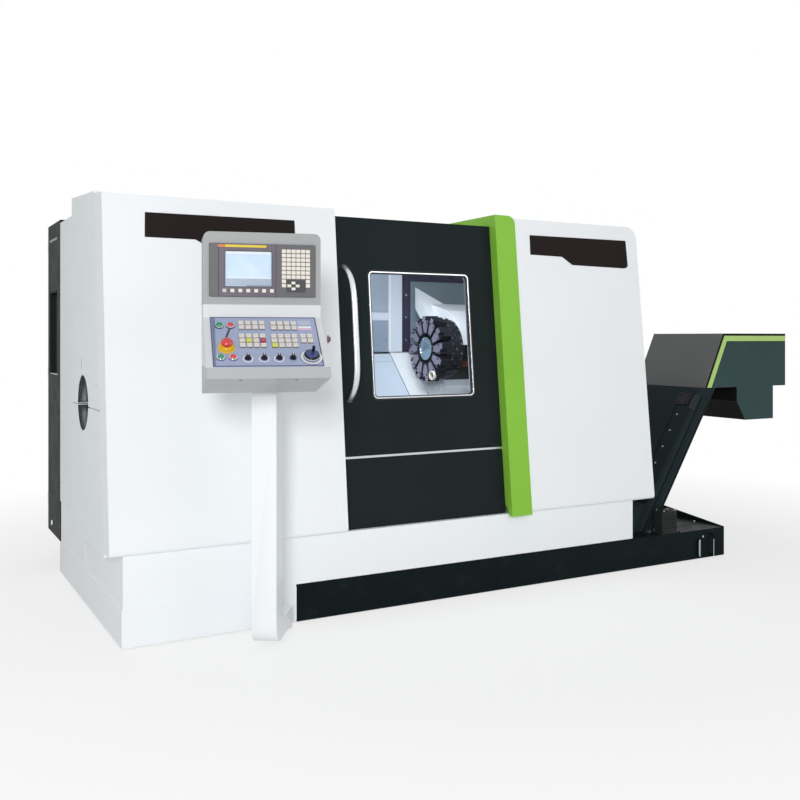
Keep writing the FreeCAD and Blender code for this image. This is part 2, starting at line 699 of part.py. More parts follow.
def cover_upstand(roof, left, length, height):
    """Cuts the roof back behind a front cover and turns its edge up to the cover."""
    edge = on_front("cover_return_high + 1", height + " + cover_rise")
    start = on_front("wall_deep", "door_top - flange")
    roof.cut("yz", left, length, polygon(
        (start[0] + " - 20", start[1] + " - 5"), (edge[0], start[1] + " - 5"),
        (edge[0], edge[1]), (start[0] + " - 20", edge[1])))
    roof.pad("yz", left, length, polygon(
        (edge[0], roof_height(edge[0]) + " - sheet"),
        (edge[0] + " + sheet", roof_height(edge[0]) + " - sheet"),
        (edge[0] + " + sheet", edge[1] + " - sheet"), (edge[0], edge[1] + " - sheet")))


# ---------------------------------------------------------------- door

def window_corners(piece):
    names = []
    for x in ("window_left", "window_right"):
        for z in ("window_bottom", "window_top"):
            names += piece.edges("y", x=x, z=z)
    return names


def door_panel():
    door = Piece("door_panel", FRONT)
    door.pad("xz", "door_back", "door_thick",
             rectangle("door_left", "door_bottom", "door_right", "door_top"))
    door.round("door_corner", door.edges("y", x="door_right", z="door_top"))
    door.shell("door_skin", ((0, 1, 0), ("door_left + 40", "door_back + door_thick",
                                         "door_bottom + 60")))
    door.pad("xz", "door_back + door_skin / 2", "glass_thick + 6", rectangle(
        "window_left - 14", "window_bottom - 14", "window_right + 14", "window_top + 14"))
    door.cut("xz", "door_back - 1", "door_thick", rectangle(
        "window_left", "window_bottom", "window_right", "window_top"))
    door.round("window_corner", window_corners(door))


def door_glass():
    glass = Piece("door_glass", FRONT)
    glass.pad("xz", "door_back + 3", "glass_thick",
              rectangle("window_left", "window_bottom", "window_right", "window_top"))
    glass.round("window_corner", window_corners(glass))


def door_handle():
    """A bow of round bar on two feet, revolved about the bow's own centre."""
    half = "((handle_high - handle_low) / 2)"
    bend = "((%s ^ 2 + handle_bow ^ 2) / (2 * handle_bow))" % half
    frame = chain(FRONT, shift("handle_x", "door_back", "(handle_low + handle_high) / 2"),
                  shift("0", bend + " - handle_bow", "0"))
    bow = Piece("door_handle", frame)
    door = "handle_bow - " + bend
    bow.revolve("xy", "X_Axis", circle("0", "-" + bend, "handle_radius"),
                angle="2 * asin(%s / %s)" % (half, bend), middle=True)
    for side in ("-1", "1"):
        bow.pad("xz", door + " - 12", "12",
                circle("0", "%s * (%s - 4)" % (side, half), "handle_radius + 2"))
    bow.cut("xz", door, "3 * handle_radius", rectangle(
        "-2 * handle_radius", "-%s - 40" % half, "2 * handle_radius", half + " + 40"))


def door_rails():
    """Lower sill that the door runs on and upper rail that guides it."""
    rails = Assembly("door_rails", FRONT, joined=False)
    length = "door_rail_right - left_cover_end"
    rails.box("left_cover_end", "door_back - 2", "door_bottom - rail_height - rail_gap",
              length, "wall_deep - door_back + 2", "rail_height")
    rails.box("left_cover_end", "door_back + door_thick + 2", "door_top - flange",
              length, "wall_deep - door_back - door_thick - 2", "flange / 2")


def kick_panel():
    panel = Piece("kick_panel", FRONT)
    rear = "door_back + kick_thick"
    top = "door_bottom - rail_height - rail_gap"
    panel.pad("yz", "left_cover_end", "frame_left - left_cover_end", polygon(
        ("door_back", "door_back * tan(front_slope)"), ("door_back", top), (rear, top),
        (rear, "(%s) * tan(front_slope)" % rear)))
    panel.shell("sheet", ((0, 1, 0), ("left_cover_end + 60", rear, "ledge_depth")))


# ---------------------------------------------------------------- work area

def end_wall_outline():
    """Side view of the walls that close the work area at its two ends."""
    back_y = slanted("cover_high + 5", "-cover_drop")[0]
    under = "rear_top - sheet - 1"
    step = "side_panel_rear - sheet - 1"
    foot_y, foot_z = slanted("bed_low", "-bed_drop")
    return polygon(
        on_front("wall_deep", "door_top - flange - 1"),
        on_front("wall_deep", "door_bottom - rail_height"),
        ("conveyor_front + 20", "trough_top"), ("conveyor_rear - 30", "trough_top"),
        (foot_y, foot_z), (back_y, "%s + (%s) - (%s)" % (foot_z, back_y, foot_y)),
        (back_y, under), (step, under), (step, "roof_back - sheet - 2"),
        on_front("wall_deep + sheet + 1", "door_top - 3 * sheet"),
        on_front("wall_deep + sheet + 1", "door_top - flange - 1"))


def work_area_walls():
    """Two end walls, the left one with the spindle's hole, and the back wall behind them."""
    walls = Piece("work_area_walls")
    back_y, back_z = slanted("cover_high + 5", "-cover_drop")
    walls.pad("yz", "bulkhead_x", "sheet", end_wall_outline())
    walls.pad("yz", "work_right", "sheet", end_wall_outline())
    walls.pad("xz", back_y + " + slide_gap", "sheet", rectangle(
        "bulkhead_x", back_z, "work_right + sheet", "rear_top - sheet - 1"))
    walls.cut("yz", "bulkhead_x - 1", "sheet + 2",
              circle("spindle_y", "spindle_z", "nose_radius + 12"))


def front_apron():
    """Sloping sheet that leads chips from the door sill to the conveyor."""
    apron = Piece("front_apron")
    top_y, top_z = on_front("wall_deep", "door_bottom - rail_height")
    apron.pad("yz", "bulkhead_x + sheet", "work_right - bulkhead_x - sheet", polygon(
        (top_y, top_z), ("conveyor_front + 20", "trough_top"),
        ("conveyor_front + 20 + sheet", "trough_top"), (top_y + " + sheet", top_z)))


def bed_rails():
    rails = Piece("bed_rails")
    starts = {"tail_rail_low": "tail_left - 2.5 * tail_length",
              "tail_rail_high": "tail_left - 2.5 * tail_length",
              "saddle_rail_low": "bulkhead_x + 40", "saddle_rail_high": "bulkhead_x + 40"}
    for along, left in starts.items():
        rails.pad("yz", left, "work_right - (%s)" % left, polygon(
            slanted(along, "-bed_drop"), slanted(along + " + rail_width", "-bed_drop"),
            slanted(along + " + rail_width", "-bed_drop + rail_tall"),
            slanted(along, "-bed_drop + rail_tall")))


def headstock():
    head = Piece("headstock")
    length = "headstock_right - headstock_left"
    head.pad("yz", "headstock_left", length, polygon(
        slanted("-120", "-bed_drop"), slanted("260", "-bed_drop"), slanted("260", "70"),
        slanted("150", "180"), slanted("-150", "180"), slanted("-215", "110"),
        slanted("-215", "-200")))
    corners = []
    for along, lift in (("260", "70"), ("150", "180"), ("-150", "180"), ("-215", "110")):
        spot_y, spot_z = slanted(along, lift)
        corners += head.edges("x", y=spot_y, z=spot_z)
    head.round("25", corners)
    head.cut("yz", "headstock_left", length,
             circle("spindle_y", "spindle_z", "bearing_radius + bearing_gap"))


def spindle():
    shaft = Piece("spindle", SPINDLE)
    shaft.revolve("xz", "X_Axis", polygon(
        ("spindle_end", "bar_radius"), ("chuck_left", "bar_radius"),
        ("chuck_left", "nose_radius"), ("headstock_right + 4", "nose_radius"),
        ("headstock_right + 4", "bearing_radius"), ("headstock_left - 20", "bearing_radius"),
        ("headstock_left - 20", "bearing_radius - 20"),
        ("spindle_end", "bearing_radius - 20")))


def rear_cylinder():
    """The hydraulic cylinder that works the chuck, seen through the bar hole."""
    ram = Piece("rear_cylinder", SPINDLE)
    ram.revolve("xz", "X_Axis", polygon(
        ("35", "bar_radius"), ("spindle_end", "bar_radius"),
        ("spindle_end", "cylinder_radius - 12"), ("spindle_end - 14", "cylinder_radius"),
        ("75", "cylinder_radius"), ("75", "cylinder_radius - 25"),
        ("35", "cylinder_radius - 25")))


def chuck_body():
    """Three-jaw power chuck with T-slots for its jaws."""
    chuck = Piece("chuck_body", SPINDLE)
    chuck.revolve("xz", "X_Axis", polygon(
        ("chuck_left", "bar_radius"), ("chuck_face", "bar_radius"),
        ("chuck_face", "chuck_radius - 4"), ("chuck_face - 4", "chuck_radius"),
        ("chuck_left", "chuck_radius")))
    slot = chuck.cut("yz", "chuck_face - 24", "24",
                     rectangle("-15", "38", "15", "chuck_radius + 1"))
    foot = chuck.cut("yz", "chuck_face - 24", "12",
                     rectangle("-22", "38", "22", "chuck_radius + 1"))
    chuck.ring_of([slot, foot], "X_Axis", "3")


def jaws():
    """Stepped jaws, each on its own T-shaped foot in the chuck's slot."""
    for index in range(3):
        jaw = Piece("chuck_jaw_%d" % (index + 1), chain(SPINDLE, turn("x", str(120 * index))))
        jaw.pad("yz", "chuck_face - 24 + slide_gap", "12 - 2 * slide_gap",
                rectangle("-22 + slide_gap", "43", "22 - slide_gap", "94"))
        jaw.pad("yz", "chuck_face - 12 - slide_gap", "12 + 2 * slide_gap",
                rectangle("-15 + slide_gap", "43", "15 - slide_gap", "94"))
        jaw.pad("xy", "42", "60", rectangle(
            "chuck_face + slide_gap", "-16", "chuck_face + jaw_length", "16"))
        jaw.cut("xy", "62", "41", rectangle(
            "chuck_face + 25", "-17", "chuck_face + jaw_length + 1", "17"))


def cover_section(inset):
    """Section of a way cover: a flat top with both long edges turned down."""
    top = "-cover_drop - (%s)" % inset
    deep = top + " - cover_flange"
    low = "cover_low + (%s)" % inset
    high = "cover_high - (%s)" % inset
    return polygon(
        slanted(low, deep), slanted(low, top), slanted(high, top), slanted(high, deep),
        slanted(high + " - sheet", deep), slanted(high + " - sheet", top + " - sheet"),
        slanted(low + " + sheet", top + " - sheet"), slanted(low + " + sheet", deep))


def way_covers():
    """Two inner segments of the telescopic cover; the saddle carries the third."""
    fixed = Piece("way_cover_fixed")
    fixed.pad("yz", "bulkhead_x + sheet", "cover_fixed", cover_section("2 * cover_step"))
    middle = Piece("way_cover_middle")
    middle.pad("yz", "cover_middle_left", "cover_middle", cover_section("cover_step"))


def saddle():
    """Carriage with the third cover segment and a slot that the middle one runs into."""
    slide = Piece("saddle")
    seat = "-bed_drop + rail_tall + slide_gap"
    slide.pad("yz", "saddle_left", "saddle_length", polygon(
        slanted("saddle_low", seat), slanted("saddle_high", seat),
        slanted("saddle_high", "saddle_top"), slanted("saddle_low", "saddle_top")))
    roof = "-cover_drop - sheet"
    floor = "-cover_drop - 2 * cover_step - cover_flange"
    slide.cut("yz", "saddle_left", "cover_slot", polygon(
        slanted("saddle_low - 1", floor), slanted("saddle_high + 1", floor),
        slanted("saddle_high + 1", roof), slanted("saddle_low - 1", roof)))
    slide.pad("yz", "saddle_left - cover_saddle", "cover_saddle + cover_slot",
              cover_section("0"))


def cross_slide():
    slide = Piece("cross_slide")
    foot = "saddle_top + slide_gap"
    slide.pad("yz", "saddle_left + 30", "saddle_length - 60", polygon(
        slanted("turret_u - 90", foot), slanted("turret_u + 140", foot),
        slanted("turret_u + 140", "cross_top"), slanted("turret_u - 90", "cross_top")))


def turret_housing():
    """The turret's gear case on the cross slide, with its motor's cover behind."""
    house = Piece("turret_housing")
    left = "turret_rear + 3"
    crown = [("turret_u + 163", "140"), ("turret_u + 49", "162"), ("turret_u - 31", "139"),
             ("turret_u - 92", "122")]
    house.pad("yz", left, "saddle_right - 30 - (%s)" % left, polygon(
        slanted("turret_u - 85", "cross_top"), slanted("turret_u + 110", "cross_top"),
        slanted("turret_u + 200", "-100"), slanted("turret_u + 321", "-40"),
        slanted("turret_u + 321", "45"), *[slanted(*spot) for spot in crown],
        slanted("turret_u - 125", "60"), slanted("turret_u - 125", "-60")))
    for (along, lift), size in ((crown[0], "30"), (crown[3], "25"),
                                (("turret_u - 125", "60"), "25")):
        spot_y, spot_z = slanted(along, lift)
        house.round(size, house.edges("x", y=spot_y, z=spot_z))
    house.pad("yz", "wing_left", "wing_length", polygon(
        slanted("turret_u + 210", "-30"), slanted("turret_u + 360", "-30"),
        slanted("turret_u + 450", "60"), slanted("turret_u + 321", "45"),
        slanted("turret_u + 210", "45")))


def turret_disc():
    disc = Piece("turret_disc", TURRET)
    left = "turret_face + holder_length"
    disc.revolve("xz", "X_Axis", polygon(
        (left + " - 26", "0"), (left + " - 26", "62"), (left, "78"),
        (left, "turret_radius - 6"), (left + " + 6", "turret_radius"),
        ("turret_rear - 6", "turret_radius"), ("turret_rear", "turret_radius - 6"),
        ("turret_rear", "60"), ("turret_rear + 3", "60"), ("turret_rear + 3", "0")))
    flat = disc.cut("yz", left + " - 1", "turret_thick + 2", polygon(
        ("-40", "turret_radius - 5"), ("40", "turret_radius - 5"),
        ("40", "turret_radius + 20"), ("-40", "turret_radius + 20")))
    screw = disc.cut("xy", "turret_radius - 15", "12",
                     circle(left + " + turret_thick / 2", "0", "7"))
    disc.ring_of([flat, screw], "X_Axis", "stations")


def tool_holders():
    """Tool blocks bolted round the disc's face, a slot for the shank in each."""
    blocks = Piece("tool_holders", TURRET)
    half = "holder_width / 2"
    block = blocks.pad("yz", "turret_face", "holder_length", polygon(
        ("-17", "82"), ("17", "82"), (half + " + 8", "holder_reach - 26"),
        (half + " + 4", "holder_reach - 2"), ("-%s + 4" % half, "holder_reach - 2"),
        ("-%s + 2" % half, "holder_reach - 26")))
    slot = blocks.cut("yz", "turret_face", "30", rectangle(
        "-%s + 10" % half, "holder_reach - 24", "-2", "holder_reach + 1"))
    blocks.ring_of([block, slot], "X_Axis", "stations")


def tailstock():
    stock = Piece("tailstock")
    seat = "-bed_drop + rail_tall + slide_gap"
    stock.pad("yz", "tail_left", "tail_length", polygon(
        slanted("tail_rail_low", seat), slanted("108", seat), slanted("108", "-240"),
        slanted("75", "-60"), slanted("75", "50"), slanted("40", "85"), slanted("-40", "85"),
        slanted("-75", "50"), slanted("-75", "-60"), slanted("tail_rail_low", "-240")))
    stock.cut("yz", "tail_left", "tail_length - 20",
              circle("spindle_y", "spindle_z", "quill_radius + bearing_gap"))


def tailstock_quill():
    """Quill with its live centre, sliding in the tailstock's bore."""
    quill = Piece("tailstock_quill", SPINDLE)
    tip = "tail_left - quill_out"
    quill.revolve("xz", "X_Axis", polygon(
        (tip + " - 70", "0"), (tip + " - 30", "24"), (tip, "24"), (tip, "quill_radius - 3"),
        (tip + " + 3", "quill_radius"), ("tail_right - 60", "quill_radius"),
        ("tail_right - 60", "0")))


# ---------------------------------------------------------------- tank and conveyor

def coolant_tank():
    """Welded tank: open under the machine, lidded and rimmed on the right."""
    tank = Piece("coolant_tank")
    inner_left = "plinth_length + 2 + tank_wall"
    tank.pad("xy", "tank_low", "tank_top - tank_low", rectangle(
        "plinth_length + 2", "-2", "tank_right", "tank_depth"))
    tank.cut("xy", "tank_low + tank_wall", "tank_top - tank_low - 2 * tank_wall", rectangle(
        inner_left, "-2 + tank_wall", "tank_right - 8 - tank_wall", "tank_depth - tank_wall"))
    tank.cut("xy", "tank_top - tank_wall", "tank_wall", rectangle(
        "plinth_length + 80", "conveyor_front + 40", "base_length - 60", "tank_depth - 40"))
    tank.pad("yz", "tank_right - 8", "8", polygon(
        ("-2", "tank_top - 1"), ("tank_depth", "tank_top - 1"),
        ("tank_depth", "tank_top + tank_rim"), ("-2", "tank_top + 2")))
    for x in ("plinth_length + 120", "tank_right - 120"):
        for y in ("70", "tank_depth - 70"):
            tank.pad("xy", "0", "tank_low + 3", circle(x, y, "30"))
    gauge = "tank_right - 213"
    tank.pad("xz", "-14", "12", rectangle(gauge, "20", gauge + " + 16", "112"))
    handle = "tank_right - 113"
    tank.pad("xz", "-30", "8", rectangle(handle, "14", handle + " + 8", "140"))
    for low in ("14", "128"):
        tank.pad("xz", "-30", "28", rectangle(handle, low, handle + " + 8", low + " + 12"))


def coolant_pump():
    pump = Piece("coolant_pump")
    half = "pump_size / 2"
    deep = "pump_depth / 2"
    pump.pad("xy", "tank_top", "10", rectangle(
        "pump_x - %s - 14" % half, "pump_y - %s - 2" % deep,
        "pump_x + %s + 14" % half, "pump_y + %s + 2" % deep))
    pump.pad("xy", "tank_top", "pump_height + 10", rectangle(
        "pump_x - %s" % half, "pump_y - %s" % deep, "pump_x + %s" % half, "pump_y + %s" % deep))
    corners = []
    for x in ("pump_x - " + half, "pump_x + " + half):
        for y in ("pump_y - " + deep, "pump_y + " + deep):
            corners += pump.edges("z", x=x, y=y)
    pump.bevel("12", corners)
    fin = pump.cut("xy", "tank_top + 30", "5", rectangle(
        "pump_x - pump_size", "pump_y - %s" % deep, "pump_x + pump_size",
        "pump_y - %s + 5" % deep))
    pump.row_of([fin], "Z_Axis", "60", "5")


def leg_x(side, z):
    """X of the leg's right or left line at a height."""
    foot = {"right": "leg_foot", "left": "leg_left_foot"}[side]
    return "%s + ((%s) - trough_low) / tan(conveyor_slope)" % (foot, z)


def conveyor_casing():
    """Trough and rising leg, one hollow folded casing on four feet."""
    casing = Piece("conveyor_casing")
    casing.pad("xz", "conveyor_front", "conveyor_width", polygon(
        ("trough_left", "trough_low"), ("leg_foot", "trough_low"),
        (leg_x("right", "head_low"), "head_low"), (leg_x("left", "head_low"), "head_low"),
        (leg_x("left", "trough_top"), "trough_top"), ("trough_left", "trough_top")))
    casing.cut("xz", "conveyor_front + casing_wall", "conveyor_width - 2 * casing_wall", polygon(
        ("trough_left + casing_wall", "trough_low + casing_wall"),
        ("leg_foot - casing_wall", "trough_low + casing_wall"),
        (leg_x("right", "head_low") + " - casing_wall", "head_low"),
        (leg_x("left", "head_low") + " + casing_wall", "head_low"),
        (leg_x("left", "trough_top - casing_wall") + " + casing_wall",
         "trough_top - casing_wall"),
        ("trough_left + casing_wall", "trough_top - casing_wall")))
    casing.cut("xy", "trough_top - casing_wall", "casing_wall", rectangle(
        "bulkhead_x + 20", "conveyor_front + 25", "base_length - 80", "conveyor_rear - 25"))
    for x in ("plinth_length + 20", "base_length + 60"):
        for y in ("conveyor_front", "tank_depth - 36"):
            casing.pad("xy", "tank_top", "trough_low - tank_top + 1",
                       rectangle(x, y, x + " + 40", y + " + 30"))


def conveyor_belt():
    """The hinged belt's carrying run, with its cleats, from trough to head."""
    belt = Piece("conveyor_belt")
    middle = "((trough_low + trough_top) / 2)"
    top = "(sprocket_z + sprocket_radius + slide_gap)"
    low_x = leg_x("right", middle) + " - belt_inset"
    bend_x = leg_x("right", top) + " - belt_inset"
    inner = " - belt_thick * tan(conveyor_slope / 2)"
    belt.pad("xz", "conveyor_front + 20", "conveyor_width - 40", polygon(
        ("trough_left + 60", middle), (low_x, middle), (bend_x, top), ("sprocket_x", top),
        ("sprocket_x", top + " + belt_thick"), (bend_x + inner, top + " + belt_thick"),
        (low_x + inner, middle + " + belt_thick"),
        ("trough_left + 60", middle + " + belt_thick")))
    cleat = belt.pad("xz", "conveyor_front + 30", "conveyor_width - 60", rectangle(
        "trough_left + cleat_start", middle, "trough_left + cleat_start + 6",
        middle + " + belt_thick + 25"))
    belt.row_of([cleat], "X_Axis",
                "leg_left_foot - cleat_end - trough_left - cleat_start", "cleats")
    for side in ("conveyor_front + casing_wall", "conveyor_rear - casing_wall - 25"):
        belt.pad("xz", side, "25", rectangle(
            "trough_left + 60", middle + " - 12", "leg_left_foot", middle))


def conveyor_head():
    """Hood and discharge chute, one folded housing open at the chute's end."""
    head = Piece("conveyor_head")
    head.pad("xz", "conveyor_front", "conveyor_width", polygon(
        ("head_left", "head_low"), ("head_shoulder", "head_top"), ("head_right", "head_top"),
        ("head_right", "head_low"), ("chute_right", "head_low"),
        ("chute_right", "chute_low"), ("chute_tip", "chute_low"),
        ("chute_left", "chute_knee"), ("chute_left", "head_low")))
    entry = leg_x("right", "head_low") + " - head_wall"
    head.cut("xz", "conveyor_front + head_wall", "conveyor_width - 2 * head_wall", polygon(
        ("head_left + 2 * head_wall", "head_low"), ("head_shoulder + 2", "head_top - head_wall"),
        ("head_right - head_wall", "head_top - head_wall"),
        ("head_right - head_wall", "head_low + head_wall"),
        ("chute_right - head_wall", "head_low + head_wall"),
        ("chute_right - head_wall", "chute_low"), ("chute_tip + head_wall", "chute_low"),
        ("chute_left + head_wall", "chute_knee + 2"),
        ("chute_left + head_wall", "head_low + head_wall"),
        (entry, "head_low + head_wall"), (entry, "head_low")))
    head.pad("xz", "conveyor_front + head_wall - 1", "boss_length + 1",
             circle("sprocket_x", "sprocket_z", "boss_radius"))
    for place, length in (("conveyor_front + head_wall", "boss_length"),
                          ("conveyor_rear - head_wall", "head_wall")):
        head.cut("xz", place, length,
                 circle("sprocket_x", "sprocket_z", "shaft_radius + bearing_gap"))


def conveyor_shaft():
    """Drive shaft with its two sprockets, from the hood's boss to the gearbox."""
    shaft = Piece("conveyor_shaft", chain(MACHINE, shift("sprocket_x", "0", "sprocket_z")))
    shaft.pad("xz", "conveyor_front + head_wall + slide_gap",
              "conveyor_width - head_wall - slide_gap + 44", circle("0", "0", "shaft_radius"))
    for place in ("conveyor_front + 40", "conveyor_rear - 60"):
        shaft.pad("xz", place, "20", circle("0", "0", "sprocket_radius"))
        tooth = shaft.cut("xz", place, "20", circle("0", "sprocket_radius + 6", "14"))
        shaft.ring_of([tooth], "Y_Axis", "8")


def conveyor_gearmotor():
    motor = Piece("conveyor_gearmotor")
    motor.pad("xz", "conveyor_rear", "70", rectangle(
        "sprocket_x - 70", "sprocket_z - 70", "sprocket_x + 90", "sprocket_z + 70"))
    motor.cut("xz", "conveyor_rear", "50",
              circle("sprocket_x", "sprocket_z", "shaft_radius + bearing_gap"))
    motor.pad("yz", "sprocket_x + 90", "190",
              circle("conveyor_rear + motor_radius + 3", "sprocket_z", "motor_radius"))
    motor.pad("yz", "sprocket_x + 140", "90", rectangle(
        "conveyor_rear + 2 * motor_radius - 10", "sprocket_z - 35",
        "conveyor_rear + 2 * motor_radius + 30", "sprocket_z + 35"))


# ---------------------------------------------------------------- cabinet

def cabinet_shell():
    shell = Piece("cabinet_shell")
    shell.pad("xy", "cabinet_low", "cabinet_top - cabinet_low", rectangle(
        "0", "rear_wall", "cabinet_length", "cabinet_rear"))
    shell.cut("yz", "0", "recess_deep", rectangle(
        "recess_front", "recess_low", "recess_rear", "recess_high"))
    shell.shell("sheet", ((0, 1, 0), ("cabinet_length / 2", "cabinet_rear", "cabinet_low + 90")))


def cabinet_equipment():
    """Back plate with drives, contactors and wiring ducts, fused to it."""
    plate = Assembly("cabinet_equipment")
    back = "rear_wall + sheet"
    plate.box("60", back, "cabinet_low + 60", "cabinet_length - 120", "6",
              "cabinet_top - cabinet_low - 120")
    for index in range(4):
        plate.box("110 + %d * drive_pitch" % index, back + " + 5", "cabinet_low + drive_low",
                  "drive_pitch - 30", "210", "380")
    for index in range(8):
        plate.box("110 + %d * contactor_pitch" % index, back + " + 5",
                  "cabinet_low + contactor_low", "contactor_pitch - 14", "95", "110")
    for above in ("contactor_low - 2 * duct_tall", "contactor_low + 210",
                  "drive_low - 1.8 * duct_tall"):
        plate.box("100", back + " + 5", "cabinet_low + " + above, "cabinet_length - 200",
                  "70", "duct_tall")


def cabinet_door():
    door = Piece("cabinet_door", chain(MACHINE, shift("0", "cabinet_rear + 1", "0")))
    door.pad("xz", "0", "cabinet_door - 1", rectangle(
        "0", "cabinet_low", "cabinet_length", "cabinet_top"))
    door.shell("sheet", ((0, -1, 0), ("cabinet_length / 2", "0", "cabinet_low + 300")))
    door.pad("xz", "cabinet_door - 2", "7", rectangle(
        "cabinet_length - 60", "900", "cabinet_length - 36", "1040"))
    door.pad("xz", "cabinet_door - 2", "3", rectangle(
        "switch_x - switch_radius - 10", "switch_z - switch_radius - 10",
        "switch_x + switch_radius + 10", "switch_z + switch_radius + 10"))


def main_switch():
    frame = chain(MACHINE, shift("switch_x", "cabinet_rear + cabinet_door + 2", "switch_z"))
    knob = Piece("main_switch", frame)
    knob.pad("xz", "slide_gap", "8", circle("0", "0", "switch_radius"))
    knob.pad("xz", "7", "16", rectangle("-9", "-switch_radius + 3", "9", "switch_radius - 3"))


# ---------------------------------------------------------------- arm and pendant

def control_arm():
    """A box-section J: foot on the pivot pin, round heel, upright leg."""
    arm = Piece("control_arm", chain(MACHINE, shift("pivot_x", "pivot_y", "0"),
                                     turn("z", "-arm_yaw")))
    outer = "-arm_reach - arm_deep / 2"
    inner = "-arm_reach + arm_deep / 2"
    arm.pad("yz", "-arm_width / 2", "arm_width", polygon(
        ("0", "arm_low"), ("0", "arm_low + arm_foot"), (inner, "arm_low + arm_foot"),
        (inner, "arm_top"), (outer, "arm_top"), (outer, "arm_low")))
    arm.round("arm_round", arm.edges("x", y=outer, z="arm_low"))
    arm.round("18", arm.edges("x", y=inner, z="arm_low + arm_foot"))
    arm.pad("xy", "arm_low", "arm_foot", circle("0", "0", "arm_width / 2"))
    arm.cut("xy", "arm_low", "arm_foot - pin_cover",
            circle("0", "0", "pivot_radius + bearing_gap"))
    arm.pad("xy", "arm_top", "swivel_shoulder", circle("0", "-arm_reach", "swivel_radius + 13"))
    arm.pad("xy", "arm_top", "90", circle("0", "-arm_reach", "swivel_radius"))


def pendant_housing():
    """Display box over a sloping desk, with the swivel collar behind."""
    house = Piece("pendant_housing", PENDANT)
    left = "-pendant_side - pendant_width / 2"
    right = "pendant_width / 2 - pendant_side"
    rear = "-display_front + display_deep"
    house.pad("yz", left, "pendant_width", polygon(
        ("-display_front", "pendant_top"), (rear, "pendant_top"), (rear, "heel_z + 140"),
        ("-heel_front", "heel_z"), ("-lip_front", "lip_low"), ("-lip_front", "lip_top"),
        ("-display_front", "desk_top")))
    house.round("24", house.edges("y", x=left, z="pendant_top")
                + house.edges("y", x=right, z="pendant_top"))
    collar = "arm_top + swivel_shoulder + slide_gap"
    house.pad("yz", "-70", "140", polygon(
        (rear + " - 2", collar), ("60", collar), ("60", collar + " + 100"),
        (rear + " - 2", collar + " + 200")))
    house.cut("xy", "arm_top", "92", circle("0", "0", "swivel_radius + bearing_gap"))
    house.cut("xz", "-display_front - 1", "6", rectangle(
        "-pendant_side - unit_width / 2 + 8", "unit_centre_z - unit_height / 2 + 8",
        "-pendant_side + unit_width / 2 - 8", "unit_centre_z + unit_height / 2 - 8"))


def control_unit():
    """Bezel with a sunk screen, soft keys below it and the key field beside it."""
    unit = Assembly("control_unit", DISPLAY)
    front = "-unit_thick"
    keys = front + " - 3"
    width = "screen_right - screen_left"
    unit.box("-unit_width / 2", front, "-unit_height / 2",
             "unit_width / 2 + screen_left", "unit_thick", "unit_height")
    unit.box("screen_right", front, "-unit_height / 2",
             "unit_width / 2 - screen_right", "unit_thick", "unit_height")
    unit.box("screen_left", front, "-unit_height / 2", width, "unit_thick",
             "unit_height / 2 + screen_low")
    unit.box("screen_left", front, "screen_high", width, "unit_thick",
             "unit_height / 2 - screen_high")
    unit.box("-unit_width / 2 + 10", "-3", "-unit_height / 2 + 10",
             "unit_width - 20", "6", "unit_height - 20")
    for index in range(7):
        unit.box("screen_left - 6.5 + %d * soft_key_pitch" % index, keys, "screen_low - 29",
                 "13", "5", "12")
    for column in range(6):
        for row in range(8):
            if row >= 6 and 0 < column < 5:
                continue
            unit.box("screen_right + pad_key_left + %d * pad_key_across" % column, keys,
                     "screen_high - 3 - %d * pad_key_down" % row, "pad_key_across - 3.5",
                     "5", "pad_key_down - 4")
    for across, up in ((0, 1), (-1, 0), (1, 0), (0, -1)):
        unit.box("arrow_x + %d * arrow_step" % across, keys, "arrow_z + %d * arrow_step" % up,
                 "pad_key_across - 3.5", "5", "pad_key_down - 5")


# Places on the desk, across from its middle and down from its top edge.
PUSH_BUTTONS = {"power_on_button": (-162, 55), "power_off_button": (-123, 55),
                "cycle_start_button": (-166, 230), "feed_hold_button": (-123, 230)}
KNOBS = (-72, -15, 38, 87)
KNOB_DOWN = 234
WHEEL = (154, 228)
STOP = (-143, 176)
# Key groups: the first key's corner, then how many keys across and down.
KEY_GROUPS = ((-93, 29, 4, 2), (24, 31, 4, 2), (-95, 103, 4, 3), (20, 104, 4, 3),
              (127, 104, 2, 2))


def desk_panel():
    """The sloping desk's face plate with its key groups, rings and stop collar."""
    plate = Assembly("desk_panel", DESK)
    plate.box("-desk_wide / 2", "-desk_long - 2", "0", "desk_wide", "desk_long", "desk_thick")
    for x, down, across, rows in KEY_GROUPS:
        for column in range(int(across)):
            for row in range(int(rows)):
                plate.box("%s + %d * key_across" % (x, column),
                          "-(%s + %d * key_down + key_size)" % (down, row),
                          "desk_thick - 1", "key_size", "key_size", "key_tall + 1")
    for x in KNOBS:
        plate.bar(str(x), "-%s" % KNOB_DOWN, "desk_thick - 1", "knob_radius + 3", "2.5")
    plate.bar(str(WHEEL[0]), "-%s" % WHEEL[1], "desk_thick - 1", "wheel_radius + 3", "2.5")
    for x, down in PUSH_BUTTONS.values():
        plate.bar(str(x), "-%s" % down, "desk_thick - 1", "button_radius + 3",
                  "button_ring + 1")
        plate.bore(str(x), "-%s" % down, "0.5", "button_radius + press_gap", "30")
    x, down = STOP
    plate.bar(str(x), "-%s" % down, "desk_thick - 1", "2 * stop_stem", "stop_collar + 1")
    plate.bore(str(x), "-%s" % down, "0.5", "stop_stem + press_gap", "30")


def push_buttons():
    top = "desk_thick + button_ring + button_tall"
    for name, (x, down) in PUSH_BUTTONS.items():
        button = Piece(name, on_desk(str(x), str(down)))
        button.revolve("xz", "Z_Axis", polygon(
            ("0", "press_travel + 1"), ("button_radius", "press_travel + 1"),
            ("button_radius", top + " - 2"), ("button_radius - 2", top), ("0", top)))


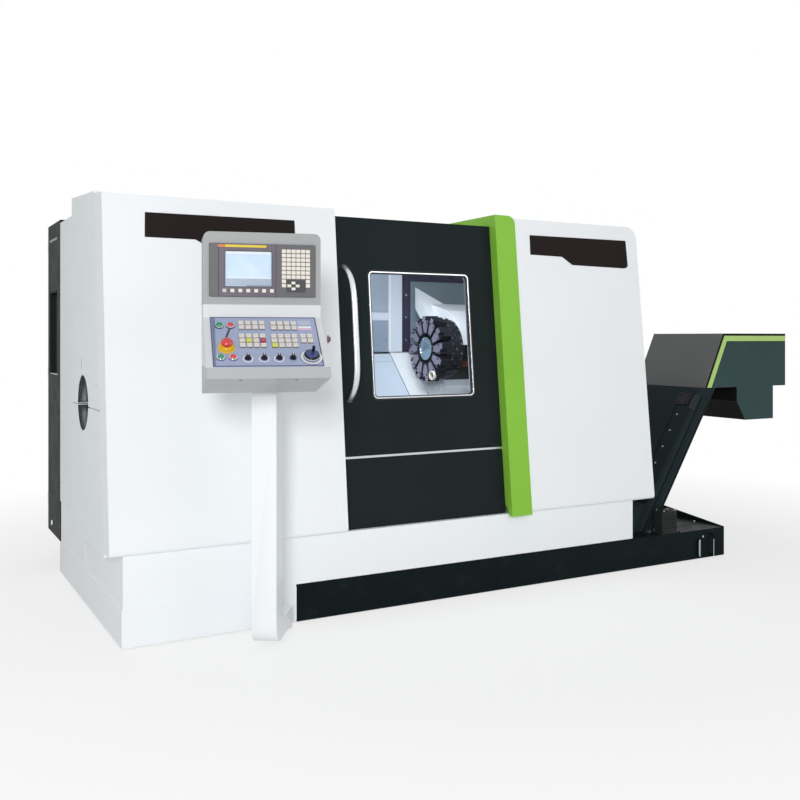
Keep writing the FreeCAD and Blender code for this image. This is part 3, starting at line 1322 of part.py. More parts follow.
def emergency_stop():
    stop = Piece("emergency_stop", on_desk(str(STOP[0]), str(STOP[1])))
    foot = "stop_travel + 1"
    head = "desk_thick + stop_collar + stop_travel + 1"
    stop.revolve("xz", "Z_Axis", polygon(
        ("0", foot), ("stop_stem", foot), ("stop_stem", head), ("stop_stem + 8", head + " + 2"),
        ("stop_stem + 8", head + " + 9"), ("stop_stem + 2", head + " + 14"),
        ("0", head + " + 16")))


def selector_knobs():
    for index, x in enumerate(KNOBS, start=1):
        knob = Piece("selector_knob_%d" % index, on_desk(str(x), str(KNOB_DOWN)))
        base = "desk_thick + 1.5 + slide_gap"
        knob.pad("xy", base, "6", circle("0", "0", "knob_radius"))
        knob.pad("xy", base, "16", rectangle("-4", "-knob_radius", "4", "knob_radius"))


def handwheel():
    wheel = Piece("handwheel", on_desk(str(WHEEL[0]), str(WHEEL[1])))
    base = "desk_thick + 1.5 + slide_gap"
    wheel.revolve("xz", "Z_Axis", polygon(
        ("0", base), ("wheel_radius - 6", base), ("wheel_radius", base + " + 4"),
        ("wheel_radius", base + " + 12"), ("wheel_radius - 5", base + " + 16"),
        ("0", base + " + 16")))
    notch = wheel.cut("xy", base, "17", circle("wheel_radius + 2", "0", "4"))
    wheel.ring_of([notch], "Z_Axis", "12")
    wheel.pad("xy", base + " + 15", "22", circle("6", "wheel_radius - 13", "5.5"))


BUILDERS = (
    levelling_pads, base_casting, base_skirt, left_front_cover, right_front_cover,
    green_frame, side_panels, rear_housing, right_side_panel, roof_panel, door_panel,
    door_glass, door_handle, door_rails, kick_panel, work_area_walls, front_apron,
    bed_rails, headstock, spindle, rear_cylinder, chuck_body, jaws, way_covers, saddle,
    cross_slide, turret_housing, turret_disc, tool_holders, tailstock, tailstock_quill,
    coolant_tank, coolant_pump, conveyor_casing, conveyor_belt, conveyor_head,
    conveyor_shaft, conveyor_gearmotor, cabinet_shell, cabinet_equipment, cabinet_door,
    main_switch, control_arm, pendant_housing, control_unit, desk_panel, push_buttons,
    emergency_stop, selector_knobs, handwheel,
)


def centre_footprint(wholes):
    """Puts the origin at the centre of the footprint's bounding box."""
    box = FreeCAD.BoundBox()
    for whole in wholes:
        box.add(whole.Shape.BoundBox)
    for offset, value in enumerate((box.Center.x, box.Center.y), start=1):
        sheet.set("B%d" % (len(SIZES) + offset), repr(value))
    doc.recompute()
    return box


def check(wholes):
    for thing in doc.Objects:
        if "Invalid" in thing.State or "Error" in thing.State:
            raise RuntimeError(thing.Label + " failed")
    for whole in wholes:
        if whole.Shape.isNull() or not whole.Shape.isValid():
            raise RuntimeError(whole.Label + " has no valid shape")


def build():
    fill_sheet()
    for builder in BUILDERS:
        builder()
    wholes = []
    for piece in PIECES:
        whole = piece.result()
        bind(whole, "Placement", piece.frame)
        wholes.append(whole)
    doc.recompute()
    box = centre_footprint(wholes)
    check(wholes)
    os.makedirs("parts", exist_ok=True)
    for whole in wholes:
        whole.Shape.exportStep(os.path.join("parts", whole.Label + ".step"))
    print("%d sub-parts, %.0f x %.0f x %.0f mm, origin at %.1f, %.1f" % (
        len(wholes), box.XLength, box.YLength, box.ZLength, box.Center.x, box.Center.y))
    return wholes


WHOLES = build()
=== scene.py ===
import json
import math

import bmesh
import bpy
from mathutils import Matrix, Vector


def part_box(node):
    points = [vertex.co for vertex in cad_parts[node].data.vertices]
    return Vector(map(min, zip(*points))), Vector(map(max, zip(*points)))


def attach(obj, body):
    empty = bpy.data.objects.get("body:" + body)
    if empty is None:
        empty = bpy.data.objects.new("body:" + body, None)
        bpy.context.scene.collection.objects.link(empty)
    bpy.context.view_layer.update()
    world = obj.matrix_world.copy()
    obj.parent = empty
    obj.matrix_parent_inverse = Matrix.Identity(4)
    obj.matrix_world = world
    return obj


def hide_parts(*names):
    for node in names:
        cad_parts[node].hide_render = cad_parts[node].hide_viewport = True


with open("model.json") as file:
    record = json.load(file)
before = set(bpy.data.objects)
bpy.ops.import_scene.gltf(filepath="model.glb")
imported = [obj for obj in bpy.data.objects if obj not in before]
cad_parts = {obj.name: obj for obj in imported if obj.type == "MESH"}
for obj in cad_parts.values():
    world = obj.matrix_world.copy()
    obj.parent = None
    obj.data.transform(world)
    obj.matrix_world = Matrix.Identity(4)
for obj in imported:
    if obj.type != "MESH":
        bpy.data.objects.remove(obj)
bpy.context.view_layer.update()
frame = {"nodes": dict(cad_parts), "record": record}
NODES = frame["nodes"]
MM = 0.001

# The machine frame starts at the base's front left corner on the floor.
PLINTH_OUT, BASE_DEPTH = 0.006, 1.433
skirt_low, skirt_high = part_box("base_skirt")
ORIGIN = Vector((-PLINTH_OUT - skirt_low.x, BASE_DEPTH - skirt_high.y, 0.0))


def at(x, y, z):
    return Matrix.Translation(Vector((x, y, z)) * MM)


def turned(axis, degrees):
    return Matrix.Rotation(math.radians(degrees), 4, axis)


FRONT_SLOPE = 5.8
SPINDLE_Y, SPINDLE_Z, TURRET_U = 522.0, 952.0, 320.0
BASE_TOP, ROOF_TOP, FLANK_X = 372, 1850, -58.0
REAR_WALL_Y, CABINET_REAR_Y, TANK_LID_Z = 1461, 1865, 164
ROOT_HALF = math.sqrt(0.5)

# The frames that pieces are drawn in.
MACHINE = Matrix.Translation(-ORIGIN)
FRONT = MACHINE @ at(0, -25, BASE_TOP) @ turned("X", -FRONT_SLOPE)
SPINDLE = MACHINE @ at(0, SPINDLE_Y, SPINDLE_Z)
SPINDLE_AXIS = SPINDLE @ turned("Y", 90)
SLANT = SPINDLE @ turned("X", 45)
TURRET = SLANT @ at(0, TURRET_U, 0) @ turned("X", -45)
PENDANT = MACHINE @ at(506.49, -266.54, 0) @ turned("Z", -14.4)
DISPLAY = PENDANT @ at(-46, -247, 1489)
DESK = PENDANT @ at(-46, -247, 1314.4) @ turned("X", 40.17)
ARM = MACHINE @ at(644, -58, 0) @ turned("Z", -33.4)


# ---- materials

def linear(red, green, blue):
    """A colour as a screen shows it, 0 to 255, as scene-linear numbers."""
    return tuple(((c / 255 + 0.055) / 1.055) ** 2.4 if c > 10 else c / 255 / 12.92
                 for c in (red, green, blue))


class Nodes:
    """A small helper for writing a node tree."""

    def __init__(self, tree):
        self.tree = tree

    def add(self, kind, presets=(), **values):
        """A new node: presets are constant inputs by name, values its own settings."""
        node = self.tree.nodes.new(kind)
        for key, value in values.items():
            setattr(node, key, value)
        for key, value in dict(presets).items():
            node.inputs[key].default_value = value
        return node

    def link(self, start, end):
        self.tree.links.new(start, end)

    def feed(self, value, socket):
        """Links a socket, or sets it where the value is a number or a colour."""
        if isinstance(value, tuple):
            socket.default_value = (*value, 1)
        elif isinstance(value, float):
            socket.default_value = value
        else:
            self.link(value, socket)

    def noise(self, where, scale, detail, rough=0.55):
        node = self.add("ShaderNodeTexNoise",
                        {"Scale": scale, "Detail": detail, "Roughness": rough})
        self.link(where, node.inputs["Vector"])
        return node.outputs["Fac"]

    def stretched(self, where, scale):
        node = self.add("ShaderNodeMapping", {"Scale": scale})
        self.link(where, node.inputs["Vector"])
        return node.outputs["Vector"]

    def ranged(self, value, low, high, start=0.3, end=0.7):
        node = self.add("ShaderNodeMapRange", {
            "From Min": start, "From Max": end, "To Min": low, "To Max": high})
        self.link(value, node.inputs["Value"])
        return node.outputs["Result"]

    def mixed(self, factor, first, second, blend_type="MIX"):
        node = self.add("ShaderNodeMix", data_type="RGBA", blend_type=blend_type)
        for value, socket in ((factor, "Factor"), (first, "A"), (second, "B")):
            self.feed(value, node.inputs[socket])
        return node.outputs["Result"]

    def compute(self, operation, first, second):
        node = self.add("ShaderNodeMath", operation=operation)
        self.feed(first, node.inputs[0])
        self.feed(second, node.inputs[1])
        return node.outputs[0]

    def seen_by(self, *rays):
        """1 for the named kinds of ray and 0 for every other."""
        path = self.add("ShaderNodeLightPath")
        seen, *others = [path.outputs["Is %s Ray" % ray] for ray in rays]
        for other in others:
            seen = self.compute("MAXIMUM", seen, other)
        return seen

    def either(self, factor, first, second):
        """Mixes two shaders."""
        node = self.add("ShaderNodeMixShader")
        for start, socket in ((factor, "Fac"), (first, 1), (second, 2)):
            self.link(start, node.inputs[socket])
        return node.outputs["Shader"]

    def end(self, result, kind="ShaderNodeOutputMaterial"):
        self.link(result, self.add(kind).inputs["Surface"])


def emptied(block):
    """Switches on the node tree of a material or world, emptied, with its helper."""
    block.use_nodes = True
    block.node_tree.nodes.clear()
    return Nodes(block.node_tree)


def shaded(colour, factor):
    return tuple(min(1.0, c * factor) for c in colour)


GLOSS_SPREAD = 0.05


def surface(name, colour, rough, metallic=0.0, spread=0.04, grain=900, depth=0.00002,
            brush=None, specular=0.5, coat=0.0, dust=None):
    """A procedural finish: cloudy tint, fine grain, uneven gloss, optional brushing."""
    material = bpy.data.materials.new(name)
    net = emptied(material)
    shader = net.add("ShaderNodeBsdfPrincipled", {
        "Metallic": metallic, "Specular IOR Level": specular, "Coat Weight": coat})
    net.end(shader.outputs["BSDF"])
    where = net.add("ShaderNodeTexCoord").outputs["Object"]
    base = linear(*colour)
    tint = net.mixed(net.ranged(net.noise(where, 2.3, 5), 0, 1),
                     shaded(base, 1 - spread), shaded(base, 1 + spread))
    if dust:
        patch = net.ranged(net.noise(where, 9, 8, 0.7), 0, 1, 0.52, 0.75)
        tint = net.mixed(patch, tint, linear(*dust))
    fine_where = net.stretched(where, brush) if brush else where
    fine = net.noise(fine_where, grain, 2)
    if brush:
        tint = net.mixed(net.ranged(fine, 0, 1), tint, shaded(base, 1.12))
    net.link(tint, shader.inputs["Base Color"])
    gloss = net.ranged(net.noise(where, 14, 6), rough - GLOSS_SPREAD, rough + GLOSS_SPREAD)
    net.link(gloss, shader.inputs["Roughness"])
    bump = net.add("ShaderNodeBump", {"Strength": 1.0, "Distance": depth})
    net.link(fine, bump.inputs["Height"])
    net.link(bump.outputs["Normal"], shader.inputs["Normal"])
    return material


def glass(name, tint):
    """Clear sheet that lets lamp light through to what is behind it."""
    material = bpy.data.materials.new(name)
    net = emptied(material)
    shader = net.add("ShaderNodeBsdfPrincipled", {
        "Base Color": (*tint, 1), "Roughness": 0.02, "IOR": 1.12, "Transmission Weight": 1.0})
    clear = net.add("ShaderNodeBsdfTransparent", {"Color": (*tint, 1)})
    net.end(net.either(net.seen_by("Shadow"), shader.outputs["BSDF"], clear.outputs["BSDF"]))
    return material


def screen_glow(name):
    """The display's pale picture: a cloudy blue wash that glows a little."""
    material = bpy.data.materials.new(name)
    net = emptied(material)
    shader = net.add("ShaderNodeBsdfPrincipled", {"Emission Strength": 0.22, "Roughness": 0.25})
    net.end(shader.outputs["BSDF"])
    where = net.add("ShaderNodeTexCoord").outputs["Object"]
    cloud = net.ranged(net.noise(where, 11, 2), 0, 1)
    tint = net.mixed(cloud, linear(180, 202, 222), linear(198, 216, 230))
    net.link(tint, shader.inputs["Base Color"])
    net.link(tint, shader.inputs["Emission Color"])
    return material


def two_tones(material, height, low_colour, high_colour):
    """Tints a finish with one colour below a height and another above it."""
    net = Nodes(material.node_tree)
    shader = next(node for node in net.tree.nodes if node.type == "BSDF_PRINCIPLED")
    tint = shader.inputs["Base Color"].links[0].from_socket
    parts = net.add("ShaderNodeSeparateXYZ")
    net.link(net.add("ShaderNodeTexCoord").outputs["Object"], parts.inputs["Vector"])
    above = net.compute("GREATER_THAN", parts.outputs["Z"], height * MM)
    pick = net.mixed(above, linear(*low_colour), linear(*high_colour))
    net.link(net.mixed(1.0, tint, pick, "MULTIPLY"), shader.inputs["Base Color"])


def look(colour, rough, **more):
    """One finish of the table below, as the values that surface() takes."""
    return dict(colour=colour, rough=rough, **more)


LOOKS = {
    # the record's material slots
    "panel_white": look((248, 251, 253), 0.42, spread=0.012, grain=1300, specular=0.15),
    "flank_white": look((244, 250, 249), 0.48, spread=0.02, grain=1300, specular=0.15),
    "frame_green": look((140, 200, 68), 0.36, spread=0.03, grain=1100, specular=0.2),
    "door_black": look((35, 42, 43), 0.5, spread=0.1, grain=1500, depth=0.00004, specular=0.03),
    "cabinet_dark": look((42, 45, 44), 0.5, spread=0.08, grain=1500, depth=0.00004,
                         specular=0.03),
    "tank_black": look((20, 29, 31), 0.42, spread=0.15, grain=1100, specular=0.04,
                       dust=(30, 38, 40)),
    "conveyor_grey": look((30, 40, 42), 0.46, spread=0.12, grain=1200, specular=0.06),
    "inner_white": look((228, 233, 240), 0.45, spread=0.03, grain=1300),
    "cast_grey": look((120, 124, 126), 0.7, spread=0.1, grain=220, depth=0.0003),
    "pad_steel": look((58, 58, 60), 0.6, metallic=0.6, spread=0.12, grain=300, depth=0.0002),
    "rail_steel": look((200, 204, 208), 0.32, metallic=0.85, spread=0.05, brush=(0.02, 1, 1),
                       grain=600),
    "handle_steel": look((226, 228, 230), 0.28, metallic=0.9, spread=0.03, grain=500),
    "ground_steel": look((168, 170, 174), 0.3, metallic=1.0, spread=0.06, grain=500),
    "jaw_steel": look((132, 134, 138), 0.4, metallic=1.0, spread=0.08, grain=400),
    "turret_black": look((38, 41, 50), 0.4, metallic=0.25, spread=0.15, grain=700, specular=0.2),
    "pump_grey": look((44, 46, 46), 0.5, spread=0.1, grain=500, depth=0.00008, specular=0.1),
    "equipment_grey": look((98, 101, 102), 0.55, spread=0.1),
    "pendant_silver": look((198, 201, 203), 0.36, metallic=0.55, spread=0.05, brush=(0.02, 1, 1),
                           grain=700),
    "desk_blue": look((160, 171, 200), 0.4, spread=0.03),
    "bezel_grey": look((94, 94, 97), 0.5, spread=0.05, grain=1400),
    "button_green": look((20, 148, 104), 0.22, coat=0.3),
    "button_red": look((214, 56, 54), 0.22, coat=0.3),
    "switch_red": look((190, 34, 32), 0.3, spread=0.05),
    "knob_black": look((20, 20, 24), 0.35, spread=0.1, specular=0.25),
    # only in the scene
    "plate_dark": look((41, 35, 34), 0.45, spread=0.06, grain=1500, specular=0.03),
    "housing_white": look((222, 225, 226), 0.4, spread=0.02, grain=1100, specular=0.2),
    "bezel_mauve": look((96, 88, 100), 0.45, spread=0.05, grain=1400),
    "screen_mottle": look((170, 184, 202), 0.3, spread=0.12, grain=300),
    "desk_teal": look((112, 128, 152), 0.4, spread=0.06),
    "metal_blue": look((70, 80, 130), 0.3, metallic=0.6, spread=0.08),
    # pale ledge and bolt heads, and painted highlights on the tank's handle and beside its gauge
    "pale_parts_and_painted_glints": look((196, 206, 204), 0.3, spread=0.05),
    "trim_chrome": look((225, 228, 232), 0.16, metallic=1.0, spread=0.03, grain=500),
    "seal_rubber": look((18, 20, 21), 0.62, spread=0.15, depth=0.00006),
    "wall_blue": look((156, 166, 184), 0.38, spread=0.05, specular=0.15),
    "wall_grey": look((142, 155, 174), 0.38, spread=0.08, specular=0.15),
    "wall_pale": look((206, 214, 228), 0.38, spread=0.05, specular=0.15),
    # painted shade: a pale blue tint on the white fixed and middle way covers stands in for the
    # shade on them
    "cover_painted_shade": look((194, 206, 222), 0.4, spread=0.03, specular=0.15),
    "seam_grey": look((150, 150, 152), 0.5, spread=0.1),
    "turret_flange": look((34, 33, 30), 0.45, spread=0.25, grain=300, specular=0.1),
    "wall_teal": look((116, 134, 144), 0.36, spread=0.12),
    "strip_dark": look((50, 48, 70), 0.45, spread=0.1, specular=0.1),
    "holder_grey": look((150, 146, 166), 0.38, metallic=0.55, spread=0.12, grain=420),
    "hub_blue": look((170, 190, 206), 0.2, metallic=0.9, spread=0.1),
    "hose_red": look((112, 40, 30), 0.4, spread=0.25),
    "stripe_green": look((178, 214, 120), 0.4, spread=0.03),
    # dark edges and joints, and painted shade on the conveyor chute's side and underside
    "dark_edges_and_painted_shade": look((22, 24, 22), 0.5, spread=0.1, specular=0.05),
    "hood_grey": look((106, 108, 107), 0.45, spread=0.05, grain=1200, specular=0.1),
    "hood_teal": look((56, 76, 77), 0.45, spread=0.08, grain=1200, specular=0.08),
    "key_cream": look((232, 224, 214), 0.45, spread=0.03),
    "key_grey": look((196, 196, 192), 0.45),
    "key_dark": look((56, 58, 62), 0.5, spread=0.05),
    "key_yellow": look((226, 226, 84), 0.4, spread=0.03),
    "key_red": look((176, 42, 70), 0.4, spread=0.03),
    "legend_white": look((236, 238, 242), 0.5, spread=0.02),
    "legend_pink": look((226, 178, 200), 0.5, spread=0.02),
    "border_purple": look((84, 84, 122), 0.4, spread=0.05),
    "stripe_yellow": look((222, 196, 40), 0.4, spread=0.03),
    "stripe_orange": look((214, 120, 60), 0.4, spread=0.03),
    "collar_yellow": look((232, 186, 36), 0.32),
    "socket_dark": look((14, 14, 15), 0.7, spread=0.1),
    "gauge_clear": look((176, 186, 186), 0.2, spread=0.05, coat=0.5),
}
MATERIALS = {name: surface(name + "_look", **values) for name, values in LOOKS.items()}
MATERIALS["window_glass"] = glass("window_glass_look", (0.93, 0.96, 0.97))
MATERIALS["lamp_clear"] = glass("lamp_clear_look", (0.95, 0.97, 1.0))
MATERIALS["screen"] = screen_glow("screen_look")
# Height, colour below it and colour above it, for the top cover and for the lip.
HOUSING_TONES = ((1362, (220, 223, 224), (168, 170, 170)),
                 (1136, (207, 208, 210), (255, 255, 255)))
MATERIALS["housing_tones"] = surface("housing_tones_look", (255, 255, 255), 0.38, specular=0.25,
                                     brush=(0.04, 1, 1), grain=500)
for tones in HOUSING_TONES:
    two_tones(MATERIALS["housing_tones"], *tones)


# ---- mesh code

PLANES = {"xy": lambda a, b, c: (a, b, c), "xz": lambda a, b, c: (a, c, b),
          "yz": lambda a, b, c: (c, a, b)}


def rounded(left, low, right, high, radius, steps=5):
    """A rectangle with round corners, as a list of points."""
    points = []
    for a, b, start in ((right - radius, high - radius, 0), (left + radius, high - radius, 90),
                        (left + radius, low + radius, 180), (right - radius, low + radius, 270)):
        for step in range(steps + 1):
            angle = math.radians(start + 90 * step / steps)
            points.append((a + radius * math.cos(angle), b + radius * math.sin(angle)))
    return points


def disc(a, b, radius, steps=28):
    return [(a + radius * math.cos(2 * math.pi * i / steps),
             b + radius * math.sin(2 * math.pi * i / steps)) for i in range(steps)]


class Shape:
    """Solids gathered into one mesh; places are in millimetres in the piece's frame."""

    def __init__(self, where=MACHINE):
        self.where = where
        self.mesh = bmesh.new()
        self.materials = []

    def slot_of(self, material):
        if material not in self.materials:
            self.materials.append(material)
        return self.materials.index(material)

    def add(self, points, faces, material, local=None):
        place = self.where @ local if local else self.where
        slot = self.slot_of(material)
        spots = [self.mesh.verts.new(place @ (Vector(p) * MM)) for p in points]
        for face in faces:
            made = self.mesh.faces.new([spots[i] for i in face])
            made.material_index = slot
            made.smooth = True

    def loft(self, start, end, material, local=None):
        """A solid between two outlines in space with the same number of points."""
        count = len(start)
        faces = [tuple(range(count)), tuple(range(2 * count - 1, count - 1, -1))]
        faces += [(i, (i + 1) % count, (i + 1) % count + count, i + count)
                  for i in range(count)]
        self.add(start + end, faces, material, local)

    def prism(self, plane, low, high, outline, material, local=None):
        place = PLANES[plane]
        self.loft([place(a, b, low) for a, b in outline],
                  [place(a, b, high) for a, b in outline], material, local)

    def box(self, x, y, z, dx, dy, dz, material, local=None):
        self.prism("xy", z, z + dz, [(x, y), (x + dx, y), (x + dx, y + dy), (x, y + dy)],
                   material, local)

    def boxes(self, *rows):
        for row in rows:
            self.box(*row)

    def band(self, plane, low, high, outer, inner, material, local=None):
        """A flat ring between two outlines with the same number of points."""
        place = PLANES[plane]
        count = len(outer)
        loops = [[place(a, b, level) for a, b in line]
                 for line, level in ((outer, low), (outer, high), (inner, high), (inner, low))]
        points = [point for loop in loops for point in loop]
        faces = [(k * count + i, k * count + (i + 1) % count,
                  (k + 1) % 4 * count + (i + 1) % count, (k + 1) % 4 * count + i)
                 for k in range(4) for i in range(count)]
        self.add(points, faces, material, local)

    def lathe(self, profile, material, local=None, steps=32):
        """Turns a profile of (radius, height) points about the local Z axis."""
        rings, points, faces = [], [], []
        for radius, height in profile:
            if radius < 1e-6:
                rings.append([len(points)])
                points.append((0, 0, height))
                continue
            rings.append(list(range(len(points), len(points) + steps)))
            points += [(x, y, height) for x, y in disc(0, 0, radius, steps)]
        for first, second in zip(rings, rings[1:]):
            for i in range(steps):
                j = (i + 1) % steps
                if len(first) > 1 and len(second) > 1:
                    faces.append((first[i], first[j], second[j], second[i]))
                elif len(second) > 1:
                    faces.append((first[0], second[j], second[i]))
                elif len(first) > 1:
                    faces.append((first[i], first[j], second[0]))
        self.add(points, faces, material, local)

    def tube(self, path, radius, material, steps=12, side=None, flat=1.0):
        """A bar along a path of points, with closed ends; flat squeezes it across side."""
        spots = [Vector(p) for p in path]
        points, faces = [], []
        for i, spot in enumerate(spots):
            way = (spots[min(i + 1, len(spots) - 1)] - spots[max(i - 1, 0)]).normalized()
            if side is None:
                side = way.orthogonal().normalized()
            side = (side - way * side.dot(way)).normalized()
            up = way.cross(side)
            for k in range(steps):
                angle = 2 * math.pi * k / steps
                reach = side * math.cos(angle) + up * math.sin(angle) * flat
                points.append(spot + reach * radius)
        for i in range(len(spots) - 1):
            for k in range(steps):
                j = (k + 1) % steps
                faces.append((i * steps + k, i * steps + j,
                              (i + 1) * steps + j, (i + 1) * steps + k))
        faces.append(tuple(range(steps - 1, -1, -1)))
        faces.append(tuple(range((len(spots) - 1) * steps, len(spots) * steps)))
        self.add(points, faces, material)

    def screw(self, local, radius, head="trim_chrome"):
        """A socket-head screw standing on the local XY plane."""
        tall = radius * 0.9
        self.lathe([(0, -0.5), (radius, -0.5), (radius, tall * 0.8), (radius * 0.85, tall),
                    (radius * 0.5, tall), (radius * 0.45, tall * 0.45), (0, tall * 0.45)],
                   head, local, 14)
        self.prism("xy", tall * 0.4, tall * 0.5, disc(0, 0, radius * 0.42, 6), "socket_dark",
                   local)

    def done(self, name, body, bevel=0.5, replaces=()):
        """Makes the piece, which rides on a body and takes its finish from a slot."""
        bmesh.ops.recalc_face_normals(self.mesh, faces=self.mesh.faces)
        data = bpy.data.meshes.new(name)
        self.mesh.to_mesh(data)
        self.mesh.free()
        data.set_sharp_from_angle(angle=math.radians(32))
        piece = bpy.data.objects.new(name, data)
        bpy.context.scene.collection.objects.link(piece)
        for material in self.materials:
            data.materials.append(MATERIALS[material])
        if bevel:
            soften(piece, bevel)
        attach(piece, body)
        if replaces:
            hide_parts(*replaces)


def soften(piece, width):
    """Rounds the sharp edges a little, so that they catch the light."""
    rounding = piece.modifiers.new("soft_edges", "BEVEL")
    rounding.width = width * MM
    rounding.segments = 2
    rounding.limit_method = "ANGLE"
    rounding.angle_limit = math.radians(35)
    rounding.harden_normals = True


def facing(axis, sign=1):
    """A turn that brings the local Z axis to the given way."""
    return {"x": turned("Y", 90 * sign), "y": turned("X", -90 * sign),
            "z": turned("X", 0 if sign > 0 else 180)}[axis]


def screw_row(shape, places, radius, axis="y", sign=-1, head="trim_chrome"):
    for place in places:
        shape.screw(at(*place) @ facing(axis, sign), radius, head)


def screw_circle(shape, reach, height, radius, start=0, sign=1):
    """Six screws round the local Z axis, with their heads up or down."""
    for i in range(6):
        shape.screw(turned("Z", 60 * i + start) @ at(reach, 0, height) @ facing("z", sign),
                    radius)


# ---- carried-over CAD nodes

SOFT_EDGES = {
    "base_skirt": 1.5, "green_frame": 2.0, "kick_panel": 1.0, "door_panel": 1.0,
    "side_panel_upper": 1.2, "side_panel_lower": 1.2, "roof_panel": 1.0,
    "headstock": 2.0, "saddle": 1.0, "cross_slide": 2.0, "tailstock": 2.5,
    "turret_disc": 0.8, "tool_holders": 1.0, "coolant_tank": 1.2, "coolant_pump": 1.2,
    "conveyor_casing": 1.2, "conveyor_head": 1.2, "conveyor_belt": 0.8,
    "conveyor_gearmotor": 1.5, "cabinet_shell": 1.2, "cabinet_door": 1.0,
    "cabinet_equipment": 1.0, "pendant_housing": 1.6, "control_unit": 0.6,
    "desk_panel": 0.4, "bed_rails": 0.8, "door_rails": 0.8, "rear_housing": 1.0,
    "right_side_panel": 1.0, "base_casting": 3.0, "control_arm": 2.0,
}
OWN_LOOKS = {
    # painted shade: the fixed and middle way covers take a pale blue tint for their shade
    "way_cover_fixed": "cover_painted_shade", "way_cover_middle": "cover_painted_shade",
    "conveyor_head": "hood_grey", "pendant_housing": "housing_tones",
}


def dress_nodes():
    """Gives each CAD node its procedural finish and slightly rounded edges."""
    slots = {row["node"]: row["material_slot"] for row in frame["record"]["subparts"]}
    for name, node in NODES.items():
        material = MATERIALS[OWN_LOOKS.get(name, slots[name])]
        for place in node.material_slots:
            place.material = material
        if name in SOFT_EDGES:
            weld = node.modifiers.new("joined_edges", "WELD")
            weld.merge_threshold = 1e-5
            soften(node, SOFT_EDGES[name])


dress_nodes()


# ---- enclosure trim

def bare_plates():
    """The two dark plates on the front covers, with nothing on them."""
    plates = Shape(FRONT)
    scale = 1 / math.cos(math.radians(FRONT_SLOPE))
    left = [(115, 1759), (781, 1764), (781, 1641), (352, 1641), (325, 1655), (112, 1655)]
    right = [(2083, 1767), (2733, 1770), (2737, 1632), (2726, 1620), (2704, 1617),
             (2351, 1622), (2286, 1663), (2081, 1666)]
    for outline in (left, right):
        plates.prism("xz", -1.6, 0.2, [(x, (z - BASE_TOP) * scale) for x, z in outline],
                     "plate_dark")
    plates.done("bare_plates", "machine")


def window_trim():
    """Rubber seal and bright metal lining round the door's window."""
    trim = Shape(FRONT)
    pane_edge = rounded(1176, 602, 1711, 1181, 16, 8)
    glass_edge = rounded(1171, 597, 1716, 1186, 18, 8)
    lining_edge = rounded(1165.5, 591.5, 1721.5, 1191.5, 21.5, 8)
    face_edge = rounded(1158, 584, 1729, 1199, 28, 8)
    trim.band("xz", 48.6, 53, face_edge, lining_edge, "seal_rubber")
    trim.band("xz", 47.6, 80, lining_edge, glass_edge, "trim_chrome")
    trim.band("xz", 51, 66, glass_edge, pane_edge, "seal_rubber")
    trim.done("window_trim", "door", 0.6)


bare_plates()
window_trim()


# ---- work area

WALL_Y = 1079.5
COVER_W = -250.0


def back_wall():
    """Bright lining sheets, a bead and the dark strip on the work area's back wall."""
    wall = Shape()
    low, top = 1157, 1844
    left, bead, strip, after = 997, 1775, 1868, 1923
    face = WALL_Y - 2.4
    for x, z, right, high, proud, deep, material in (
            (left, 1387, bead - 1, top, 0, 2.3, "wall_blue"),
            (left, 1342, bead - 1, 1386, 1, 3.3, "wall_pale"),
            (left, low, bead - 1, 1341, 0, 2.3, "wall_grey"),
            (bead, low, bead + 13, top, 8, 10, "inner_white"),
            (bead + 14, low, strip - 2, top, 0, 2.3, "wall_pale"),
            (strip, low, after - 1, top, 4, 6.3, "strip_dark"),
            (after, low, after + 694, 1572, 0, 2.3, "wall_teal"),
            (after, 1573, after + 694, top, 2, 4.3, "strip_dark")):
        wall.box(x, face - proud, z, right - x, deep, high - z, material)
    screw_row(wall, [(1890, face - 4, 1228 + 132.5 * i) for i in range(5)], 6.5)
    screw_row(wall, [(x, face, z) for x in (1040, 1400, 1760) for z in (1230, 1480, 1730)], 4)
    wall.done("back_wall_lining", "machine", 0.4)


def end_walls():
    """Round collar where the spindle passes the left wall, and the work lamp's tube."""
    collar = Shape(SPINDLE_AXIS)
    collar.lathe([(118, 996), (136, 996), (136, 1001), (130, 1005), (118, 1005), (118, 996)],
                 "trim_chrome", steps=48)
    screw_circle(collar, 127, 1004, 4.5)
    collar.done("spindle_collar", "machine", 0.4)
    light = Shape()
    y, z = 330, 1786
    light.tube([(1300, y, z), (1900, y, z)], 19, "lamp_clear", 20)
    for x in (1286, 1900):
        light.tube([(x, y, z), (x + 16, y, z)], 24, "trim_chrome", 20)
        light.box(x + 2, y - 14, z, 10, 28, 30, "rail_steel")
    light.done("work_light_tube", "machine")


def cover_lines():
    """Thin seams and wiper lips on the telescopic cover's two moving segments."""
    lip = Shape(SLANT)
    lip.box(1907, 128, COVER_W, 2.0, 402, 0.6, "seam_grey")
    lip.screw(at(1907, 208, COVER_W), 3.5)
    lip.box(1780, 126, COVER_W - 3, 3.5, 406, 4.2, "trim_chrome")
    lip.done("saddle_cover_lines", "carriage", 0.2)
    fold = Shape(SLANT)
    fold.box(1302, 464, COVER_W - 5, 478, 1.8, 0.6, "seam_grey")
    fold.box(1300, 131, COVER_W - 8, 3.5, 396, 4.2, "trim_chrome")
    fold.done("middle_cover_lines", "middle_cover", 0.2)


# The turret's gear case and its wing at both ends, seen along the spindle.
CASE_LEFT, CASE_RIGHT, WING_LEFT, WING_RIGHT = 1987, 2300.0, 1925, 2085
CASE = [(235, -170), (430, -170), (520, -100), (641, -40), (641, 45), (483, 140),
        (369, 162), (289, 139), (228, 122), (195, 60), (195, -60)]
CASE_RADII = {5: 30, 8: 25, 9: 25}
WING = [(530, -30), (680, -30), (770, 60), (641, 45), (530, 45)]
WING_END = [(530, -30), (636, -30), (640, 40), (636, 43), (530, 44)]


